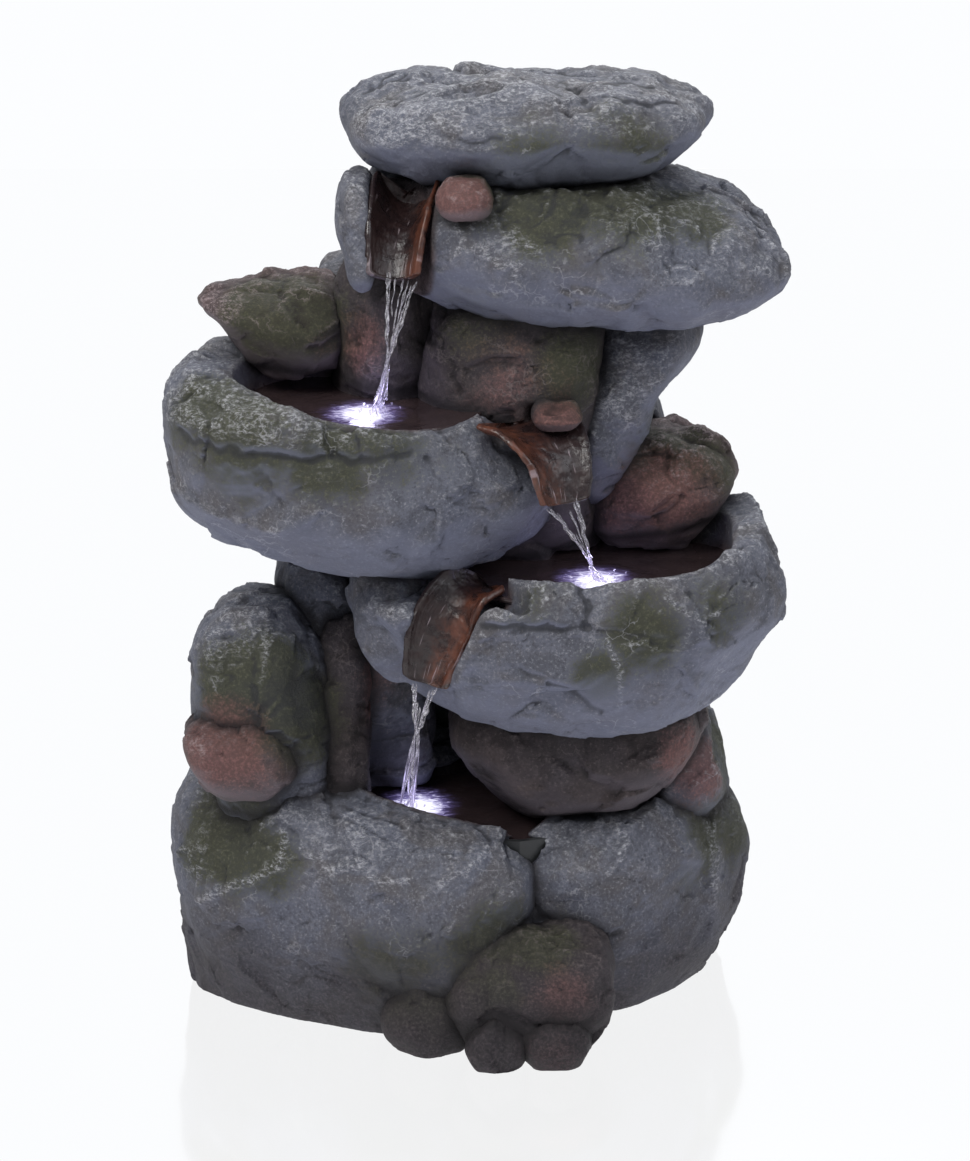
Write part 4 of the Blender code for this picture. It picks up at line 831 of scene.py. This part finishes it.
def fall_material():
    """Clear running water with white streaks that are partly foam and partly a painted glow, and a painted violet glow
    where the light below catches it.
    """
    t = Tree("running_water")
    along, spin = t.attribute("along"), t.attribute("spin")
    uv = t.node("CombineXYZ", {0: t.times(spin, 1.2), 1: t.times(along, 9.0), 2: t.times(t.noise(60), 2.0)}).outputs[0]
    streak = t.noise(2.2, 4, 0.6, 0.6, coord=uv)
    foam_and_glow = t.span(streak, 0.50, 0.66)
    near = t.span(along, 0.60, 1.0)
    # painted light: the streaks glow white, and violet towards the foot
    tint = t.mix(near, (0.95, 0.93, 0.97), (0.55, 0.48, 0.95))
    power = t.add(t.times(foam_and_glow, 0.26), t.times(near, 0.07))
    base = t.mix(foam_and_glow, (0.62, 0.60, 0.68), (1.0, 1.0, 1.0))
    return t.shader(
        Base_Color=base, Roughness=t.span(foam_and_glow, 0, 1, 0.04, 0.25), IOR=1.33,
        Transmission_Weight=t.span(foam_and_glow, 0, 1, 0.98, 0.55), Emission_Color=tint, Emission_Strength=power,
    )


def plain_material(name, colour, rough, metallic=0.0, wear=1.5, scale=60, **more):
    """Moulded or drawn stuff: a fine grain, slight wear and uneven gloss."""
    t = Tree(name)
    cloud, grain = t.noise(scale, 4), t.noise(scale * 14, 3, 0.6)
    base = t.mix(t.span(cloud, 0.35, 0.70), colour, tinted(colour, wear))
    base = t.mix(t.span(grain, 0.55, 0.80, 0.0, 0.25), base, tinted(colour, wear * 1.4))
    return t.shader(
        Base_Color=base, Roughness=t.span(cloud, 0.3, 0.7, rough * 0.85, min(1.0, rough * 1.2)), Metallic=metallic,
        Normal=t.bump(grain, 0.35, 0.0006), **more,
    )


ROCK = {
    "grey_stone": rock_material(
        "rock_grey", (0.078, 0.080, 0.096), (0.138, 0.142, 0.172), (0.54, 0.54, 0.56),
        (0.108, 0.117, 0.156), (0.088, 0.080, 0.080),
    ),
    "brown_stone": rock_material(
        "rock_brown", (0.028, 0.020, 0.020), (0.070, 0.053, 0.052), (0.24, 0.20, 0.19),
        (0.056, 0.048, 0.056), (0.036, 0.028, 0.028),
    ),
    "red_stone": rock_material(
        "rock_red", (0.045, 0.029, 0.028), (0.125, 0.080, 0.080), (0.42, 0.34, 0.34),
        (0.105, 0.088, 0.096), (0.070, 0.056, 0.055),
    ),
}
FINISH = {
    "tub_resin": plain_material("tub_resin", (0.020, 0.021, 0.022), 0.45),
    "black_plastic": plain_material("pump_plastic", (0.014, 0.014, 0.015), 0.40),
    "grey_plastic": plain_material("housing_plastic", (0.085, 0.088, 0.095), 0.42),
    "clear_vinyl": plain_material("hose_vinyl", (0.55, 0.58, 0.58), 0.16, wear=1.2, Transmission_Weight=0.6, IOR=1.45),
    "black_rubber": plain_material("rubber", (0.016, 0.015, 0.015), 0.70, scale=90),
    "light_lens": plain_material(
        "lens", (0.80, 0.80, 0.92), 0.20, wear=1.1, Emission_Color=(0.72, 0.70, 1.0), Emission_Strength=3.0
    ),
    "steel": plain_material("clamp_steel", (0.42, 0.42, 0.43), 0.28, metallic=1.0, wear=1.3),
    "copper_channel": channel_material(),
}
FINISH.update(ROCK)


# ---------------------------------------------------------------- stones
def bvh_of(mesh):
    return BVHTree.FromPolygons([tuple(v.co) for v in mesh.vertices], [tuple(p.vertices) for p in mesh.polygons])


def closeness(tree, co, reach):
    """How close each point is to a surface: 1 on it, 0 at reach or further."""
    value = np.zeros(len(co))
    for i, p in enumerate(co):
        hit = tree.find_nearest(Vector(p), reach)
        if hit[0] is not None:
            value[i] = 1 - hit[3] / reach
    return value


def contact_shade_at(name, co, forms):
    """How close each point is to another stone's surface, from 0 to 1, for the painted shade where stones meet."""
    value = np.zeros(len(co))
    for other, (tree, low, high) in forms.items():
        if other != name:
            near = np.nonzero(((co > low - CONTACT_SHADE_REACH) & (co < high + CONTACT_SHADE_REACH)).all(1))[0]
            if len(near):
                value[near] = np.maximum(value[near], closeness(tree, co[near], CONTACT_SHADE_REACH))
    return value


def paint(mesh, name, seed, forms, bowls, ways=(), fixed=None):
    """Displaces a grid into cast rock and stores what its paint depends on. fixed tells where it may not move."""
    co, edges = points_of(mesh), edges_of(mesh)
    co = smoothed(co, edges, 4)
    set_points(mesh, co)
    normals = normals_of(mesh)
    keep = np.zeros(len(co))
    for bowl in bowls:
        keep = np.maximum(keep, ramp(closeness(bowl, co, 0.012), 0.50, 0.80))
    keep_still = keep if fixed is None else np.maximum(keep, fixed(co, normals))
    for way in ways:
        keep_still = np.maximum(keep_still, ramp(closeness(way, co, 0.010), 0.30, 0.75))
    small = min(1.0, (len(co) * VOXEL**2 / 0.05) ** 0.5)
    height, crack = rock_height(co, normals[:, 2].clip(0), seed)
    mark, tone_and_shading = marks_on(name, co, normals)
    height = np.clip(height * (0.45 + 0.55 * small), -0.006, 0.006) * (1 - 0.9 * keep_still)
    height = height + mark * (1 - keep_still) + 0.0006
    moved = co + normals * height[:, None]
    foot = co[:, 2] < 0.008
    moved[foot, 2] = co[foot, 2]
    moved[:, 2] = np.maximum(moved[:, 2], 0.0)
    set_points(mesh, moved)
    normals = normals_of(mesh)
    fine = ((moved - smoothed(moved, edges, 5)) * normals).sum(1)
    wide = ((moved - smoothed(moved, edges, 30)) * normals).sum(1)
    relief = np.clip(fine / 0.0006, -1.2, 1.2) * 0.45 + np.clip(wide / 0.0022, -1.2, 1.2) * 0.50 - 0.6 * crack
    attribute(mesh, "relief", np.clip(relief, -1.6, 1.6))
    attribute(mesh, "up", normals[:, 2])
    # painted shade where stones meet, from how near each point is to another stone
    contact_shade = contact_shade_at(name, moved, forms)
    attribute(mesh, "contact_shade", 0.34 * ramp(contact_shade, 0.0, 0.9) + 0.66 * ramp(contact_shade, 0.68, 1.0))
    attribute(mesh, "moss", patch_at(moved, MOSS))
    attribute(mesh, "rust", patch_at(moved, RUST))
    # tone with painted light and shade, from the marks and the tone patches
    attribute(mesh, "tone_and_shading", np.clip(tone_and_shading + patch_at(moved, TONE_AND_SHADING), -1.4, 1.4))
    level = {"left_basin": 0.550, "right_basin": 0.405}.get(name, 9.0)
    attribute(mesh, "inner", keep * (1 - 0.70 * ramp(moved[:, 2], level + 0.001, level + 0.012)))
    attribute(mesh, "low", ramp(moved[:, 2] + 0.03 * perlin(moved * 16, 5), 0.150, 0.02))
    mesh.shade_smooth()


def channel_sections(spec, clear=0.0, tall=0.0, front=False):
    """Sections of a channel's trough, or, with tall, of the room over it, or, with front, of the room before it."""
    route = [Vector(p) + PLACE for p in spline(spec["route"], 10)]
    face = Vector((-0.05, -0.95, 0.31) if front else spec.get("face", (0, 0, 1)))
    halves = [float(v[0]) for v in spline([(h,) for h in spec["half"]], 10)]
    walls = [float(v[0]) for v in spline([(h,) for h in spec["wall"]], 10)]
    made = []
    for i, point in enumerate(route):
        ahead = (route[min(i + 1, len(route) - 1)] - route[max(i - 1, 0)]).normalized()
        twist = 1.0 if front else min(1.0, 1.6 * i / (len(route) - 1))
        side = ahead.cross(Vector((0, 0, 1)).lerp(face, twist)).normalized()
        up = side.cross(ahead)
        bed = []
        for a in np.linspace(-1, 1, BED_POINTS).tolist():
            bed.append((math.sin(a * math.pi / 2) * (1 + 0.22 * a * a), 1 - math.cos(a * math.pi / 2)))
        inner = [point + side * (s * halves[i]) + up * (h * walls[i]) for s, h in bed]
        if tall:
            grown = [point + side * (s * (halves[i] + clear)) + up * (h * walls[i] - clear) for s, h in bed]
            made.append(grown + [grown[-1] + up * tall, grown[0] + up * tall])
        else:
            half, wall = halves[i] + TROUGH_WALL, walls[i] + 0.001
            outer = [point + side * (s * half) + up * (h * wall - TROUGH_WALL) for s, h in reversed(bed)]
            made.append(inner + outer)
    return made


def build_channels():
    across = [*np.linspace(-1, 1, BED_POINTS), *np.linspace(1, -1, BED_POINTS)]
    for name, spec in CHANNELS.items():
        rings = channel_sections(spec)
        mesh = rings_mesh(name + "_trough", rings)
        attribute(mesh, "along", np.repeat(np.linspace(0, 1, len(rings)), len(rings[0])))
        attribute(mesh, "across", np.tile(across, len(rings)) * spec["bright"] + spec["shade"])
        made = link(name + "_trough", mesh)
        fine = subdivided(made, 2)
        co = points_of(fine)
        dents = 0.0007 * fbm(co * 90, spec["seed"], 3) + 0.0012 * perlin(co * 30, spec["seed"])
        set_points(fine, co + normals_of(fine) * dents[:, None])
        finished(made, BODY, FINISH["copper_channel"], name)


def build_cutters():
    """What is taken out of the stones: the bowls, the tub's room, the lead's way out and the room for the channels."""
    made = {name: link(name + "_cut", stone_form(name, **spec)) for name, spec in BOWLS.items()}

    def add(name, mesh):
        made[name] = link(name, mesh)

    def add_room(name, side, tall, front=False):
        mesh = rings_mesh(name, channel_sections(CHANNELS[side + "_channel"], GROWN_CLEAR, tall, front))
        add(name, remeshed(name, mesh, voxel=CUTTER_VOXEL))

    add("tub_room", prism("tub_room", smooth_outline(TUB_OUTLINE, 4), 0.004, 0.170))
    angles = np.linspace(0, 2 * math.pi, 24, endpoint=False)
    ring = [Vector((-0.110 + 0.0112 * math.cos(a), 0.0, 0.030 + 0.0112 * math.sin(a))) + PLACE for a in angles]
    rings = [[p + Vector((0, y, 0)) for p in ring] for y in (0.172, 0.260)]
    add("grommet_way", rings_mesh("grommet_way", rings))
    for side in ("left", "right"):
        add_room(side + "_way", side, 0.045)
        add_room(side + "_gap", side, 0.007)
    add_room("right_front", "right", 0.060, front=True)
    return made


def build_stones():
    cutters = build_cutters()
    forms, meshes = {}, {}
    for name, spec in STONES.items():
        meshes[name] = stone_form(name + "_form", **spec)
        co = points_of(meshes[name])
        forms[name] = (bvh_of(meshes[name]), co.min(0), co.max(0))
    bowl_trees = {name: bvh_of(cutters[name].data) for name in (*BOWLS, "left_way", "left_gap")}
    way_trees = {name: bvh_of(cutters[name].data) for name in ("left_way", "left_gap", "right_way", "right_front")}
    for name, spec in STONES.items():
        cuts = spec.get("cuts", ())
        adds = [link("add", stone_form("add", **add)) for add in spec.get("adds", ())]
        grid = remeshed(name + "_rock", meshes[name], adds, [cutters[c] for c in cuts])
        for add in adds:
            bpy.data.objects.remove(add)
        trees, ways = ([found[c] for c in cuts if c in found] for found in (bowl_trees, way_trees))
        paint(grid, name, spec["seed"], forms, trees, ways)
        look = ROCK[spec.get("look", spec["slot"])]
        finished(link(name + "_rock", grid), BODY, look, name)
    for cutter in cutters.values():
        bpy.data.objects.remove(cutter)
    return forms


def build_back(forms):
    """The rear shell and its door, from their CAD solids, with one rock surface that runs across both."""
    def inside(co, normals):
        return 1 - ramp(normals[:, 1] + 0.4 * np.abs(normals[:, 0]), -0.1, 0.3) * ramp(co[:, 1] - PLACE.y, 0.100, 0.130)

    for node, body in (("rear_shell", BODY), ("access_door", "door")):
        grid = remeshed(node + "_rock", frame["nodes"][node].data.copy(), voxel=0.0025)
        paint(grid, node, 30.0, forms, [], fixed=inside)
        finished(link(node + "_rock", grid), body, ROCK["grey_stone"], node)


# ---------------------------------------------------------------- water
def pool_outline(spec):
    """The water's edge, a little into the stone round it."""
    level = spec["level"]
    if spec["bowl"] is None:
        outline = smooth_outline(TUB_OUTLINE, 6)
        centre = np.mean(outline, 0)
        return [Vector((*(centre + (np.array(p) - centre) * 0.955), level)) + PLACE for p in outline]
    rings = stone_rings(**BOWLS[spec["bowl"]])
    for low, high in zip(rings, rings[1:]):
        if low[0].z <= level <= high[0].z:
            t = (level - low[0].z) / (high[0].z - low[0].z)
            edge = [a.lerp(b, t) for a, b in zip(low, high)]
            centre = sum(edge, Vector()) / len(edge)
            return [centre + (p - centre) * 1.04 for p in edge]
    raise ValueError("no section at the water's level")


def lamp(name, kind, place, energy, colour, **settings):
    light = bpy.data.lights.new(name, kind)
    light.energy = energy
    light.color = colour
    for key, value in settings.items():
        setattr(light, key, value)
    made = link(name, light)
    made.location = place
    return made


def build_water():
    """Each pool, rippled round its fall's foot, with a thin edge below, and its light's glow."""
    for name, spec in POOLS.items():
        edge = pool_outline(spec)
        centre = sum(edge, Vector()) / len(edge)
        foot = np.array((spec["foot"][0] + PLACE.x, spec["foot"][1] + PLACE.y))
        rings = []
        for r in np.linspace(0.02, 1.0, POOL_RINGS):
            rings.append([centre + (p - centre) * float(r) for p in edge])
        for ring in (rings[-1], rings[0]):
            rings.append([p - Vector((0, 0, 0.005)) for p in ring])
        points, faces = rings_data(rings)
        co = np.array([tuple(p) for p in points])
        top = np.arange(len(co)) < POOL_RINGS * len(edge)
        far = np.linalg.norm(co[:, :2] - foot, axis=1)
        wave = 0.0013 * np.cos(far * 2 * math.pi / 0.0105) * np.exp(-far / 0.026)
        wave += 0.0006 * perlin(co * (55, 55, 0), 91)
        wave += 0.0016 * np.clip(fbm(co * (160, 160, 0), 92, 2), -0.2, 1) * np.exp(-((far / 0.014) ** 2))
        co[top, 2] += wave[top]
        mesh = mesh_of(name, co, faces)
        mesh.shade_smooth()
        glow = (spec["glow"][0] + PLACE.x, spec["glow"][1] + PLACE.y, spec["level"])
        finished(link(name, mesh), BODY, water_material(name, glow))
        energy = 0.045 if spec["bowl"] else 0.012
        above = (glow[0], glow[1] + 0.004, glow[2] + 0.016)
        lamp(name + "_glow", "POINT", above, energy, (0.70, 0.66, 1.0), shadow_soft_size=0.012)


def strand(route, radius, rng, start=0.0, end=1.0):
    """One clear string of water: its sections, and how far along the fall each lies."""
    rows = spline(route, 16)
    lo = int(start * (len(rows) - 1))
    rows = rows[lo : max(int(end * (len(rows) - 1)), lo + 4) + 1]
    shift = rng.uniform(0, 50, 4)
    rings, place = [], []
    for i, row in enumerate(rows):
        t = i / (len(rows) - 1)
        ahead = Vector(rows[min(i + 1, len(rows) - 1)] - rows[max(i - 1, 0)]).normalized()
        side = ahead.cross(Vector((0, 1, 0))).normalized()
        out = ahead.cross(side)
        sway = [noise.noise(Vector((i * 0.16, s, 0.0))) for s in shift]
        centre = Vector(row) + PLACE + side * (0.0012 * sway[0]) + out * (0.0012 * sway[1])
        thick = radius * (0.75 + 0.7 * abs(sway[2])) * (min(1.0, 8 * t + 0.25) * min(1.0, 7 * (1 - t) + 0.3))
        turn = 2.5 * sway[3] + i * 0.12
        c, s = math.cos(turn), math.sin(turn)
        ring = []
        for k in range(STRAND_SIDES):
            a = 2 * math.pi * k / STRAND_SIDES
            x, y = math.cos(a) * thick * 1.35, math.sin(a) * thick * 0.65
            ring.append(centre + side * (x * c - y * s) + out * (x * s + y * c))
        rings.append(ring)
        place += [(lo + i) / (16 * (len(route) - 1))] * STRAND_SIDES
    return rings, place


def build_falls():
    material = fall_material()
    for name, spec in FALLS.items():
        rng = np.random.default_rng(spec["seed"])
        left, right, waist, foot = (np.array(spec[k]) for k in ("left", "right", "waist", "foot"))
        strands = []

        def way(start, spread):
            early = start + (waist - start) * 0.30 + (0, -0.003, 0.004)
            late = start + (waist - start) * 0.68 + (0, -0.002, 0.003)
            turn = rng.normal(0, spread, 2)
            return [start, early, late, waist + (turn[0] * 0.4, turn[1] * 0.4, 0), foot + (turn[0], turn[1], -0.001)]

        # the two main strings, a thinner one inside each, short ones between them, twisted ones and drops at the foot
        for start, spread, radius, begin, end in (
            (left, 0.003, 0.0014, 0.0, 1.0), (right, 0.003, 0.0014, 0.0, 1.0),
            (left + (0.0025, 0.001, 0), 0.004, 0.0009, 0.0, 0.9),
            (right - (0.0030, 0.001, 0), 0.004, 0.0009, 0.05, 0.9),
        ):
            strands.append(strand(way(start, spread), radius, rng, begin, end))
        for _ in range(7):
            start = left + (right - left) * rng.uniform(0.15, 0.85)
            begin = rng.uniform(0.0, 0.45)
            route, radius = way(start, 0.004), rng.uniform(0.0004, 0.0007)
            strands.append(strand(route, radius, rng, begin, begin + rng.uniform(0.2, 0.5)))
        for _ in range(6):
            swing = rng.uniform(0, 2 * math.pi)
            top = waist + (foot - waist) * rng.uniform(-0.25, 0.45)
            rows = []
            for j, (t, out) in enumerate(((0.0, 0.0015), (0.35, 0.0032), (0.7, 0.0050), (1.0, 0.0085))):
                round_it = np.array((math.cos(swing + j * 1.3), 0.6 * math.sin(swing + j * 1.3), 0))
                rows.append(top + (foot - top) * t + round_it * out)
            rings, place = strand(rows, rng.uniform(0.0006, 0.0010), rng)
            strands.append((rings, [0.55 + 0.45 * p for p in place]))
        for _ in range(16):
            spot = foot + (rng.normal(0, 0.010), rng.normal(0, 0.008), rng.uniform(0.001, 0.010))
            rows = [spot + (0, 0, h) for h in (0.0, 0.0008, 0.0016, 0.0024)]
            rings, place = strand(rows, rng.uniform(0.0005, 0.0010), rng)
            strands.append((rings[::4], [0.95] * (STRAND_SIDES * len(rings[::4]))))
        points, faces, along, spin = [], [], [], []
        for index, (rings, place) in enumerate(strands):
            p, f = rings_data(rings, len(points))
            points += p
            faces += f
            along += place
            spin += [index * 3.1 + k % STRAND_SIDES for k in range(len(p))]
        mesh = mesh_of(name, points, faces)
        attribute(mesh, "along", along)
        attribute(mesh, "spin", spin)
        made = link(name, mesh)
        subdivided(made, 1)
        finished(made, BODY, material)


# ---------------------------------------------------------------- carried-over CAD nodes
def finish_nodes():
    """Gives each CAD node that stays in view its finish."""
    slots = {part["node"]: part["material_slot"] for part in frame["record"]["subparts"]}
    for name, node in frame["nodes"].items():
        if not node.hide_render:
            for slot in node.material_slots:
                slot.material = FINISH[slots[name]]


# ---------------------------------------------------------------- stage, camera and light
def build_stage():
    """A pale floor that shows a faint reflection, a plain world, and three softboxes."""
    corners = [(x, y, -0.0006) for x, y in ((-4, -4), (4, -4), (4, 4), (-4, 4))]
    floor_mesh = mesh_of("floor", corners, [(0, 1, 2, 3)])
    t = Tree("floor")
    glow = t.node("Emission", {"Color": (0.990, 0.995, 1.0), "Strength": 1.0134})
    gloss = t.node("BsdfGlossy", {"Color": (2.2, 2.2, 2.2), "Roughness": 0.10})
    both = t.node("MixShader", {0: 0.15, 1: glow.outputs[0], 2: gloss.outputs[0]})
    dim = t.node("Emission", {"Color": (0.90, 0.90, 1.0), "Strength": 1.15})
    path = t.node("LightPath").outputs["Is Diffuse Ray"]
    floor_mesh.materials.append(t.end(t.node("MixShader", {0: path, 1: both.outputs[0], 2: dim.outputs[0]})))
    link("floor", floor_mesh)

    world = bpy.data.worlds.new("studio")
    bpy.context.scene.world = world
    t = Tree("studio", world)
    seen = t.node("Background", {0: (0.975, 0.985, 1.0)})
    lit = t.node("Background", {0: (0.88, 0.92, 1.0), 1: 0.40})
    path = t.node("LightPath").outputs["Is Camera Ray"]
    t.end(t.node("MixShader", {0: path, 1: lit.outputs[0], 2: seen.outputs[0]}))
    bpy.context.scene.view_settings.view_transform = "Standard"

    for place, size, energy, colour in (
        ((-1.2, -1.3, 2.5), 1.0, 50, (1.0, 0.99, 0.97)),
        ((1.3, -0.9, 1.9), 1.2, 14, (0.92, 0.95, 1.0)),
        ((0.2, 1.7, 2.1), 1.2, 26, (0.95, 0.97, 1.0)),
    ):
        made = lamp("softbox", "AREA", place, energy, colour, size=size)
        made.rotation_euler = (Vector((0, 0, 0.45)) - Vector(place)).to_track_quat("-Z", "Y").to_euler()


def build_camera():
    away = 2.70
    camera = bpy.data.cameras.new("camera")
    camera.sensor_width = 36
    camera.lens = 96.1
    eye = link("camera", camera)
    eye.location = PLACE + Vector((0, -away * math.cos(VIEW_DOWN), 0.375 + away * math.sin(VIEW_DOWN)))
    eye.rotation_euler = (math.pi / 2 - VIEW_DOWN, 0, 0)
    bpy.context.scene.camera = eye


build_camera()
build_stage()
stone_forms = build_stones()
build_back(stone_forms)
build_channels()
build_water()
build_falls()
finish_nodes()
